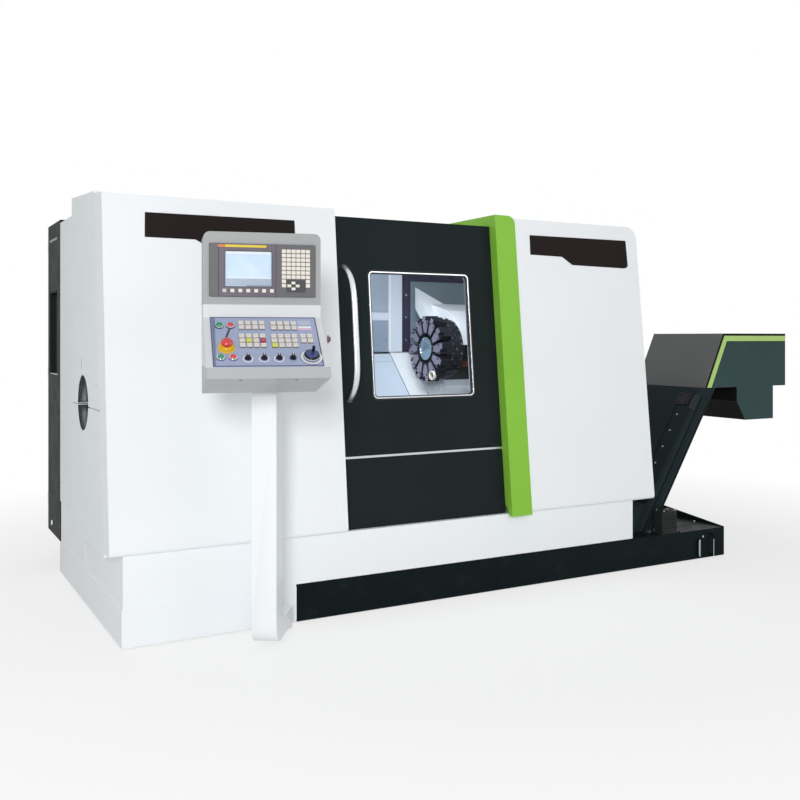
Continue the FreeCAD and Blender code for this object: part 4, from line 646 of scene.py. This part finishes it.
def eased(outline, radii):
    """The outline with the named corners rounded by short curves."""
    points = []
    for i, corner in enumerate(outline):
        if i not in radii:
            points.append(corner)
            continue
        spot = Vector(corner)
        before = (Vector(outline[i - 1]) - spot).normalized()
        after = (Vector(outline[(i + 1) % len(outline)]) - spot).normalized()
        reach = radii[i] / math.tan(before.angle(after) / 2)
        for step in range(5):
            t = step / 4
            bend = before * (1 - t) ** 2 + after * t ** 2
            points.append(tuple(spot + bend * reach))
    return points


def turret_flange():
    """Dark flange between the turret's disc and its gear case, drawn on the slant."""
    flange = Shape(TURRET)
    outline = [(138, 106), (103, 122), (61, 149), (10, 149), (-58, 141), (-104, 104),
               (-124, 55), (-124, -58), (-84, -168), (112, -168), (170, -110), (178, 20)]
    outer = [(u * ROOT_HALF - w * ROOT_HALF, u * ROOT_HALF + w * ROOT_HALF)
             for u, w in outline]
    inner = [(72 * y / math.hypot(y, z), 72 * z / math.hypot(y, z)) for y, z in outer]
    left = 1983.6
    flange.band("yz", left, 1986.4, outer, inner, "turret_flange")
    screw_row(flange, [(left, y * 0.93, z * 0.93) for y, z in outer[::2]], 5, "x", -1,
              "plate_dark")
    flange.done("turret_flange", "cross_carriage", 0.8)


def turret_case():
    """The gear case with its tapering wing, and the dark skin on the case's front."""
    case = Shape(SLANT)
    case.prism("yz", CASE_LEFT, CASE_RIGHT, eased(CASE, CASE_RADII), "inner_white")
    case.loft([(WING_LEFT, u, w) for u, w in WING], [(WING_RIGHT, u, w) for u, w in WING_END],
              "inner_white")
    case.done("turret_case", "cross_carriage", 2.0, ["turret_housing"])

    skin = Shape(SLANT)
    skin.prism("yz", CASE_LEFT, CASE_RIGHT - 1, [
        (228, 122), (195, 60), (195, -60), (235, -168), (233.4, -168.6), (193.4, -60.3),
        (193.4, 60.4), (226.6, 122.8)], "turret_flange")
    skin.box(2012, 192, -20, 46, 1.6, 44, "hose_red")
    skin.box(2096, 191, -34, 50, 2.6, 36, "wall_teal")
    skin.done("turret_case_skin", "cross_carriage")


def turret_disc_trim():
    """The hub's cap, the twelve stations' slots, clamps and screws, and a boring ring."""
    hub = Shape(TURRET @ at(1877, 0, 0) @ facing("x", -1))
    hub.lathe([(0, -2), (60, -2), (60, 34), (64, 36), (64, 44), (58, 47), (52, 47), (50, 44),
               (44, 46), (20, 52), (0, 53)], "hub_blue", steps=56)
    screw_circle(hub, 55, 46.8, 3.4, start=20)
    hub.done("turret_hub", "turret")

    rim = Shape(TURRET)
    for i in range(12):
        turn = turned("X", 30 * i)
        rim.screw(turn @ at(1943, 0, 151), 6.2)
        for x in (1916, 1970):
            for y in (26, -26):
                rim.screw(turn @ at(x, y, 159.6), 4)
        for y in (-20, 20):
            rim.screw(turn @ at(1831.4, y, 146) @ facing("x", -1), 4.6, "plate_dark")
        rim.box(1832.4, -7, 104, 3, 14, 30, "turret_black", turn)
        rim.prism("yz", 1831.4, 1833.2, [(-13, 90), (13, 90), (32, 155), (29, 180), (1, 180),
                                         (1, 157), (-30, 155)], "holder_grey", turn)
    rim.done("turret_screws", "turret", 0)

    ring = Shape(TURRET @ turned("X", 150) @ at(1836, 0, 170) @ facing("x", -1))
    ring.lathe([(18, -2), (27, -2), (27, 14), (25, 16), (20, 16), (18, 14), (18, -2)],
               "key_cream", steps=36)
    ring.prism("xy", -1.5, 2, disc(0, 0, 18.4, 30), "socket_dark")
    ring.done("boring_ring", "turret", 0.4)


def jaw_details():
    """Bolts and serrations of the chuck's jaws, and the face ring round the bore."""
    for index in range(3):
        top = Shape(SPINDLE @ turned("X", 120 * index))
        for x, height in ((1152, 51), (1135, 82)):
            top.screw(at(x, 0, height) @ facing("x", 1), 6.5, "plate_dark")
        for step in range(6):
            for y in (-16.3, 15.8):
                top.box(1111, y, 46 + 8 * step, 18, 0.5, 1.6, "socket_dark")
        top.done("jaw_%d_bolts" % (index + 1), "jaw_%d" % (index + 1), 0)
    face = Shape(SPINDLE_AXIS)
    face.lathe([(33.6, 1109), (37, 1109), (37, 1112), (35.5, 1113), (33.6, 1113),
                (33.6, 1109)], "trim_chrome", steps=40)
    for i in range(3):
        face.screw(turned("Z", 120 * i + 60) @ at(70, 0, 1110), 7)
        face.screw(turned("Z", 120 * i + 35) @ at(92, 0, 1110), 4)
    face.done("chuck_face_ring", "spindle_unit", 0.3)


def tailstock_trim():
    """Bright ring with its screws on the tailstock's nose."""
    nose = Shape(SPINDLE_AXIS)
    nose.lathe([(46, 2357), (62, 2357), (62, 2362), (58, 2365.4), (46, 2365.4), (46, 2357)],
               "trim_chrome", steps=40)
    screw_circle(nose, 54, 2357, 3.2, sign=-1)
    nose.done("tailstock_nose", "tailstock_unit", 0.3)


back_wall()
end_walls()
cover_lines()
turret_flange()
turret_case()
turret_disc_trim()
jaw_details()
tailstock_trim()


# ---- door and flank

def door_handle():
    """A flat bow, straight in the middle, with both ends turned in to the door."""
    bow = Shape(FRONT)
    x, low, high, reach, feet, radius, flat, squareness = 1040, 585, 1212, 98, 51, 14, 0.62, 5.5
    half, middle = (high - low) / 2, (high + low) / 2
    steps = 26
    path = []
    for i in range(steps + 1):
        t = math.sin(math.pi * (i / steps - 0.5))
        path.append((x, feet - reach * (1 - abs(t) ** squareness), middle + half * t))
    bow.tube(path, radius, "handle_steel", 20, side=Vector((1, 0, 0)), flat=flat)
    bow.done("door_handle_bow", "door", 0, ["door_handle"])


def flank_fittings():
    """Sunk screws and a slot on the left flank, the base's side seam, the rear side's screws."""
    flank = Shape()
    places = ((314, 1667), (763, 1685), (756, 842), (529, 827), (218, 829), (222, 1040),
              (771, 1300))
    screw_row(flank, [(FLANK_X + 4.9, y, z) for y, z in places], 5.5, "x", -1, "seam_grey")
    flank.box(FLANK_X, 547, 1100, 1.0, 6, 30, "strip_dark")
    flank.prism("yz", FLANK_X, FLANK_X + 0.8, [(543, 1134), (557, 1134), (550, 1150)],
                "seam_grey")
    flank.done("flank_fittings", "machine", 0.2)
    seam = Shape()
    seam.box(-6.6, 752, 170, 7.0, 4, 112, "housing_white")
    seam.box(-0.8, 757, BASE_TOP - 210, 1.0, 1.6, 200, "seam_grey")
    seam.done("base_side_seam", "machine", 0.4)
    rear = Shape()
    screw_row(rear, [(0, y, z) for y in (900, 1370) for z in (480, 900, 1320, 1740)], 5, "x", -1)
    rear.done("rear_side_screws", "machine", 0)


def cylinder_bolts():
    """Ring and bolts of the rear cylinder, seen through the bar hole."""
    ram = Shape(SPINDLE_AXIS)
    ram.lathe([(45, 34), (60, 34), (60, 36), (45, 36), (45, 34)], "trim_chrome", steps=40)
    screw_circle(ram, 52, 35, 4, sign=-1)
    ram.done("cylinder_bolts", "spindle_unit", 0.2)


door_handle()
flank_fittings()
cylinder_bolts()


# ---- cabinet and rear

def cabinet_details():
    """Recess ledge and pull, hinge barrels, lid seam and door latch."""
    shell = Shape()
    shell.box(2, 1554, 1037, 23, 246, 5, "pale_parts_and_painted_glints")
    shell.box(2, 1554, 1488, 23, 246, 6, "dark_edges_and_painted_shade")
    shell.box(24.6, 1640, 1120, 1.4, 74, 210, "plate_dark")
    shell.lathe([(0, 0), (15, 0), (15, 4), (11, 7), (0, 7)], "trim_chrome",
                at(0, 1709, 214) @ facing("x", -1), 24)
    shell.box(-1.4, 1566, 1772, 1.6, 236, 13, "seam_grey")
    for z in (300, 1010, 1720):
        for profile in ([(0, 0), (6.5, 0), (6.5, 62), (0, 62)],
                        [(0, 62.8), (6.5, 62.8), (6.5, 64), (0, 66)]):
            shell.lathe(profile, "rail_steel", at(4, CABINET_REAR_Y, z), 18)
    shell.done("cabinet_fittings", "machine")
    leaf = Shape()
    leaf.band("xz", CABINET_REAR_Y - 0.6, CABINET_REAR_Y + 1.2,
              rounded(24, 178, 876, 1846, 12, 4), rounded(30, 184, 870, 1840, 10, 4), "dark_edges_and_painted_shade")
    leaf.box(846, CABINET_REAR_Y + 4, 925, 12, 8, 92, "knob_black")
    screw_row(leaf, [(858, CABINET_REAR_Y, z) for z in (320, 1700)], 8, "y", 1)
    leaf.done("cabinet_door_fittings", "cabinet_leaf", 0.6)


def rear_details():
    """Screws along the rear wall, and the roof's seams and screws."""
    rear = Shape()
    screw_row(rear, [(x, REAR_WALL_Y, z) for x in (960, 1500, 2040, 2720)
                     for z in (430, 1100, 1800)], 6, "y", 1)
    rear.done("rear_wall_screws", "machine", 0)
    roof = Shape()
    for x in (1000, 1868, 2760):
        roof.box(x, 800, ROOF_TOP - 0.4, 2.5, 655, 1.0, "seam_grey")
    screw_row(roof, [(x, y, ROOF_TOP) for x in (500, 1400, 2300) for y in (860, 1400)], 6, "z", 1)
    roof.done("roof_seams", "machine", 0)


cabinet_details()
rear_details()


# ---- tank and conveyor

def tank_details():
    """Level gauge, painted highlights on the handle and beside the gauge, lid screws and the
    pump's cap.
    """
    tank = Shape()
    tank.box(3154, -15.2, 27, 12, 1.6, 78, "gauge_clear")
    screw_row(tank, [(3160, -14, z) for z in (23, 109)], 4)
    # painted highlights: a pale strip on the handle's front and a pale square beside the gauge
    # stand in for glints
    tank.box(3250.5, -31.2, 14, 4, 1.6, 96, "pale_parts_and_painted_glints")
    tank.box(3194, -3.4, 120, 10, 1.6, 10, "pale_parts_and_painted_glints")
    screw_row(tank, [(x, y, TANK_LID_Z) for x in (2850, 3080, 3320) for y in (180, 520)], 7,
              "z", 1)
    tank.box(2830, 130, TANK_LID_Z - 0.4, 500, 400, 1.4, "tank_black")
    tank.done("tank_fittings", "machine")
    cap = Shape(MACHINE @ at(2960, 44, 286))
    cap.box(-30, -22, -0.5, 60, 44, 3.5, "pump_grey")
    screw_row(cap, [(x, y, 0) for x in (-40, 40) for y in (-28, 28)], 4.5, "z", 1)
    cap.done("pump_cap", "machine", 0.6)


HOOD_START, HOOD_LOW, HOOD_TOP, HOOD_RIGHT = 3314.0, 950.0, 1264.0, 3993.0
HOOD_RUN, HOOD_RISE, HOOD_FACE = 146.0, 314.0, 90


def hood_x(inset, z):
    """X of a line that keeps a distance inside the hood's sloping edge."""
    length = math.hypot(HOOD_RUN, HOOD_RISE)
    return HOOD_START + inset * length / HOOD_RISE + (z - HOOD_LOW) * HOOD_RUN / HOOD_RISE


def hood_edge(inset):
    """The line at one distance inside the sloping edge and the top edge, low end first."""
    return [(hood_x(inset, HOOD_LOW + 1), HOOD_LOW + 1),
            (hood_x(inset, HOOD_TOP - inset), HOOD_TOP - inset), (HOOD_RIGHT, HOOD_TOP - inset)]


def hood_details():
    """The hood's teal front with the green stripe and dark lines, and painted shade on the
    chute's left side and sloping underside.
    """
    hood = Shape()
    for near, far, thick, material in ((0, 13, 1.6, "dark_edges_and_painted_shade"), (13, 45, 2.0, "stripe_green"),
                                       (45, 49, 1.4, "dark_edges_and_painted_shade")):
        hood.prism("xz", HOOD_FACE - thick, HOOD_FACE + 0.2,
                   hood_edge(near) + hood_edge(far)[::-1], material)
    hood.prism("xz", HOOD_FACE - 1, HOOD_FACE + 0.2,
               hood_edge(49) + [(HOOD_RIGHT, HOOD_LOW + 1)], "hood_teal")
    hood.prism("xz", HOOD_FACE - 1, HOOD_FACE + 0.2, [
        (3576, 950), (3884, 950), (3884, 754), (3646, 754), (3576, 863)], "hood_teal")
    # painted shade: near-black sheets on the chute's left side and sloping underside stand in for
    # their shade
    hood.prism("yz", 3575, 3576.2, [(92, 864), (648, 864), (648, 949), (92, 949)], "dark_edges_and_painted_shade")
    hood.prism("xz", 92, 648, [(3576, 863), (3646, 754), (3645, 753.4), (3575, 862.4)],
               "dark_edges_and_painted_shade")
    hood.done("hood_front", "machine", 0.3)


def leg_details():
    """Flange strips, bolts and a bracket on the conveyor's sloping leg; the belt's tensioner."""
    slope = math.radians(58)
    leg = Shape(MACHINE @ at(2765, 90, 172) @ Matrix.Rotation(-slope, 4, "Y"))
    long = 778 / math.sin(slope)
    for x, y, z, less, dy, dz, material in (
            (6, -3, -16, 12, 3.2, 11, "conveyor_grey"),
            (6, -4.6, -76, 30, 4.8, 16, "conveyor_grey"),
            (6, -3, -122, 12, 3.2, 9, "conveyor_grey"),
            (30, -1.4, -100, 60, 1.6, 1.8, "hood_teal"),
            (30, -1.4, -40, 60, 1.6, 1.8, "hood_teal"),
            (6, 100, 0, 16, 4, 3, "conveyor_grey")):
        leg.box(x, y, z, long - less, dy, dz, material)
    screw_row(leg, [(216 + 105 * i, y, 0) for i in range(6) for y in (63, 500)], 4.5, "z", 1,
              "pale_parts_and_painted_glints")
    leg.prism("xz", -5, 1, [(790, -34), (884, -34), (884, -4), (840, 6), (790, 6)], "pump_grey")
    leg.box(806, 18, 0, 74, 92, 6, "pump_grey")
    screw_row(leg, [(x, y, 6) for x in (822, 866) for y in (36, 92)], 5, "z", 1, "plate_dark")
    leg.done("leg_strips", "machine", 0.6)

    knob = Shape(MACHINE @ at(3246, 590, 906))
    knob.tube([(22, 0, 0), (-6, 0, 0), (-34, 0, 8)], 7, "plate_dark", 14)
    knob.lathe([(0, 0), (17, 0), (19, 4), (19, 16), (14, 20), (0, 20)], "plate_dark",
               at(-34, 0, 0), 20)
    knob.done("belt_tensioner", "machine", 0.4)


tank_details()
hood_details()
leg_details()


# ---- pendant

def control_unit_face():
    """Bezel, sunk screen with a plain picture, soft keys and the key field."""
    unit = Shape(DISPLAY)
    opening = rounded(-138, -60, 32, 70, 3, 3)
    field = rounded(60, -84, 187, 87, 3, 3)
    unit.band("xz", -6.6, 0, rounded(-196.5, -98, 196.5, 98, 4, 3), opening, "socket_dark")
    unit.prism("xz", -3, 3, rounded(-186, -87, 186, 87, 3, 3), "socket_dark")
    unit.prism("xz", -7.4, -6, rounded(-196, -97.5, -163, 97.5, 3, 3), "bezel_grey")
    unit.band("xz", -7.4, -6, rounded(-161.5, -97.5, 47, 97.5, 3, 3), opening, "bezel_mauve")
    unit.band("xz", -7.4, -6, rounded(48.5, -97.5, 196, 97.5, 3, 3), field, "bezel_grey")
    unit.prism("xz", -7.0, -5, field, "bezel_grey")
    unit.boxes((86, -7.3, -80, 73, 0.6, 46, "key_dark"),
               (-166, -8.2, 84, 28, 1.2, 9, "stripe_orange"),
               (-138, -8.2, 84, 150, 1.2, 9, "stripe_yellow"))
    unit.band("xz", -7.7, -4, rounded(-140, -62, 34, 72, 4, 3), opening, "key_dark")
    unit.prism("xz", -3.6, -2.9, rounded(-137.5, -59.5, 31.5, 69.5, 3, 3), "screen")
    unit.boxes((-136, -3.9, 60, 166, 0.5, 8, "legend_white"),
               (-136, -3.9, -30, 166, 0.5, 3.4, "legend_white"),
               (-136, -3.8, -57, 166, 0.4, 26, "screen_mottle"),
               (-60, -3.9, -58.5, 91, 0.5, 2, "border_purple"))
    for i in range(7):
        unit.box(-148.6 + 29 * i, -10, -82, 14, 4, 12.6, "key_cream" if i else "key_grey")
    for row in range(9):
        for column in range(6):
            if row < 7 or column in (0, 5):
                unit.box(69.5 + 18 * column, -9.8, 66.4 - 16 * row, 15.4, 4.8, 13, "key_cream")
    for x, z in ((0, 10), (-16, -1), (16, -1), (0, -12)):
        unit.box(105.8 + x, -9.8, -60 + z, 14.4, 4.8, 10, "key_cream")
    unit.done("control_unit_face", "pendant", 0.5, ["control_unit"])


# On the desk, places are X and the distance down from its top edge.
DESK_FACE = 2.8
KEY_PITCH = (25, 25.5)
KEY_GROUPS = ((-93, 29, 4, 2), (24, 31, 4, 2), (-95, 103, 4, 3), (20, 104, 4, 3),
              (127, 104, 2, 2))
COLOURED_KEYS = {(2, 1, 1): "key_yellow", (3, 0, 2): "key_yellow", (2, 3, 1): "key_red"}
KNOBS, KNOB_DOWN, WHEEL, STOP = (-72, -15, 38, 87), 234, (154, 228), (-143, 176)


def ring(shape, x, down, inner, outer, high, material):
    shape.band("xy", DESK_FACE, high, disc(x, -down, outer, 36), disc(x, -down, inner, 36),
               material)


def ticks(shape, x, down, angles, mark):
    """Dark marks round a dial; each is the same box, laid along the turned X axis."""
    for angle in angles:
        shape.box(*mark, "key_dark", at(x, -down, 0) @ turned("Z", angle))


def desk_trim():
    """Key caps, borders, legends and dial rings on the sloping desk."""
    desk = Shape(DESK)
    desk.band("xy", DESK_FACE, 3.5, rounded(-194.2, -274.7, 194.2, -2.3, 4, 3),
              rounded(-190, -270, 190, -6.5, 3, 3), "border_purple")
    desk.prism("xy", DESK_FACE, 3.25, [(-189, -7), (-176, -7), (-184, -269), (-189, -269)],
               "desk_teal")
    for group, (x, down, across, rows) in enumerate(KEY_GROUPS):
        for column in range(across):
            for row in range(rows):
                left = x + KEY_PITCH[0] * column - 0.3
                top = down + KEY_PITCH[1] * row - 0.3
                cap = COLOURED_KEYS.get((group, column, row), "key_cream")
                desk.boxes((left - 0.8, -(top + 22.4), DESK_FACE, 20.2, 23.4, 0.8, "key_dark"),
                           (left, -(top + 18.6), 3, 18.6, 18.6, 5.2, cap),
                           (left + 3.5, -(top + 11), 8.1, 11.6, 2.4, 0.5, "key_grey"))
    for row in range(2):
        for column in range(3):
            left, top = 126 + 16 * column, 22 + 13 * row
            desk.band("xy", DESK_FACE, 3.3, rounded(left, -(top + 10), left + 13, -top, 1, 2),
                      rounded(left + 1.2, -(top + 8.8), left + 11.8, -(top + 1.2), 0.8, 2),
                      "legend_white")
    desk.boxes((124, -66, DESK_FACE, 48, 12, 0.5, "legend_white"),
               (124, -76, DESK_FACE, 50, 8, 0.5, "legend_pink"),
               (130, -99, DESK_FACE, 14, 3, 0.5, "legend_pink"),
               (154, -99, DESK_FACE, 14, 3, 0.5, "legend_pink"))
    for x in KNOBS[:3]:
        ring(desk, x, KNOB_DOWN, 14.2, 19, 3.4, "legend_white")
        ticks(desk, x, KNOB_DOWN, range(-60, 241, 30), (15.5, -0.6, 3.2, 3, 1.2, 0.5))
    ring(desk, *WHEEL, 31.2, 39.5, 4.2, "legend_white")
    ring(desk, *WHEEL, 39.5, 40.4, 4.8, "key_dark")
    ticks(desk, *WHEEL, range(0, 360, 18), (33, -0.5, 4.0, 4.5, 1.0, 0.6))
    desk.lathe([(30, 2.8), (30, 5), (25.6, 6), (25.6, 17.4), (23.6, 19.6), (13, 19.6)],
               "collar_yellow", at(STOP[0], -STOP[1], 0), 40)
    desk.prism("xy", DESK_FACE, 3.6, [(-131, -72), (-123, -71), (-137, -118), (-145, -118)],
               "key_dark")
    desk.done("desk_trim", "pendant", 0.3)


def knob_caps():
    """Pointers on the selector knobs, the wheel's metal top and the button rims."""
    for index, x in enumerate(KNOBS, start=1):
        cap = Shape(DESK @ at(x, -KNOB_DOWN, 0))
        cap.box(-1.3, 1, 20.6, 2.6, 10, 0.5, "legend_white")
        cap.lathe([(11.2, 4.9), (12.4, 4.9), (12.4, 6.6), (11.2, 7.4)], "metal_blue", steps=30)
        cap.done("knob_%d_pointer" % index, "knob_%d" % index, 0.2)
    wheel = Shape(DESK @ at(WHEEL[0], -WHEEL[1], 0))
    wheel.lathe([(0, 20.7), (22.4, 20.7), (22.4, 21.4), (20, 22.4), (6, 22.0), (0, 22.0)],
                "metal_blue", steps=40)
    wheel.lathe([(28.1, 9.5), (28.6, 9.5), (28.6, 15), (28.1, 15)], "trim_chrome", steps=40)
    wheel.done("wheel_top", "pulse_wheel", 0.3)
    for name, x, down, material in (("on", -162, 55, "socket_dark"),
                                    ("off", -123, 55, "socket_dark"),
                                    ("start", -166, 230, "border_purple"),
                                    ("hold", -123, 230, "border_purple")):
        rim = Shape(DESK @ at(x, -down, 0))
        rim.lathe([(11.4, 8), (14.3, 8), (14.3, 9.1), (13.4, 9.8), (11.4, 9.8), (11.4, 8)],
                  "trim_chrome", steps=36)
        rim.lathe([(14.1, 3), (15.6, 3), (15.6, 4.6), (14.1, 6)], material, steps=36)
        rim.done("button_rim_" + name, "pendant", 0)


def housing_details():
    """Screws under the lip, the side connector, the rear cover's seam; the arm's collar."""
    house = Shape(PENDANT)
    for x in (-144, 53):
        house.screw(at(x, -431, 1091) @ turned("X", 168.1), 4.5, "seam_grey")
    connector = at(171, -400, 1234) @ facing("x", 1)
    house.lathe([(0, -1), (11, -1), (11, 3), (8, 9), (0, 9)], "hose_red", connector, 24)
    house.lathe([(12, -1), (15, -1), (15, 2), (12, 3)], "bezel_grey", connector, 24)
    house.band("xz", -122.6, -121.4, rounded(-244, 1180, 152, 1612, 10, 3),
               rounded(-241, 1183, 149, 1609, 8, 3), "seam_grey")
    screw_row(house, [(x, -122, z) for x in (-236, 144) for z in (1192, 1600)], 3.6, "y", 1)
    house.done("pendant_fittings", "pendant", 0.2)
    collar = Shape(ARM @ at(0, -249.8, 1100))
    collar.lathe([(38.4, 0), (44, 0), (44, 8), (41, 11), (38.4, 11), (38.4, 0)], "trim_chrome",
                 steps=40)
    collar.done("swivel_collar", "arm", 0.3)


control_unit_face()
desk_trim()
knob_caps()
housing_details()


# ---- camera, light, floor

IMAGE_SIZE, FOCAL_PIXELS, SHIFT_PIXELS = 800.0, 943.58, -62.4


def camera():
    """The photograph's view: level, turned 29 degrees, with the frame shifted down."""
    view = bpy.data.cameras.new("camera")
    view.sensor_width = 36.0
    view.lens = FOCAL_PIXELS * view.sensor_width / IMAGE_SIZE
    view.shift_y = SHIFT_PIXELS / IMAGE_SIZE
    view.clip_end = 100.0
    eye = bpy.data.objects.new("camera", view)
    eye.location = MACHINE @ Vector((-0.8531, -3.8065, 1.24))
    eye.rotation_euler = (math.radians(90), 0, math.radians(-29))
    bpy.context.scene.collection.objects.link(eye)
    bpy.context.scene.camera = eye


def lamp(name, place, target, size, power):
    light = bpy.data.lights.new(name, "AREA")
    light.shape = "RECTANGLE"
    light.size, light.size_y = size
    light.energy = power
    body = bpy.data.objects.new(name, light)
    body.location = MACHINE @ Vector(place)
    way = (MACHINE @ Vector(target)) - body.location
    body.rotation_euler = way.to_track_quat("-Z", "Y").to_euler()
    bpy.context.scene.collection.objects.link(body)


def studio():
    """Even soft light; the white surround is seen by camera, gloss and glass."""
    world = bpy.data.worlds.new("studio")
    bpy.context.scene.world = world
    net = emptied(world)
    soft, white = [net.add("ShaderNodeBackground", {"Color": colour, "Strength": strength})
                   for colour, strength in (((0.97, 0.985, 1.0, 1), 0.46), ((1, 1, 1, 1), 1.0))]
    net.end(net.either(net.seen_by("Camera", "Transmission", "Glossy"),
                       soft.outputs["Background"], white.outputs["Background"]),
            "ShaderNodeOutputWorld")
    lamp("key", (-2.6, -6.2, 2.6), (1.3, 0.0, 0.9), (1.5, 1.5), 215)
    lamp("fill", (4.6, -5.0, 4.0), (1.8, 0.2, 0.8), (3.0, 3.0), 34)
    lamp("work_light", (1.45, 0.34, 1.70), (1.55, 0.75, 1.0), (0.6, 0.1), 6)


def floor():
    """Pale floor: keeps the soft shadow near the object and fades to white."""
    bpy.ops.mesh.primitive_plane_add(size=60, location=(0, 0, 0))
    ground = bpy.context.object
    ground.name = "floor"
    material = bpy.data.materials.new("floor_look")
    net = emptied(material)
    matt = net.add("ShaderNodeBsdfDiffuse", {"Color": (0.9, 0.9, 0.9, 1)})
    white = net.add("ShaderNodeEmission", {"Color": (1, 1, 1, 1)})
    away = net.add("ShaderNodeVectorMath", operation="LENGTH")
    net.link(net.add("ShaderNodeNewGeometry").outputs["Position"], away.inputs[0])
    fade = net.ranged(away.outputs["Value"], 0.68, 1.0, 2.0, 4.2)
    share = net.compute("MULTIPLY", fade, net.seen_by("Camera", "Glossy"))
    net.end(net.either(share, matt.outputs["BSDF"], white.outputs["Emission"]))
    ground.data.materials.append(material)


camera()
studio()
floor()
bpy.context.scene.view_settings.view_transform = "Standard"
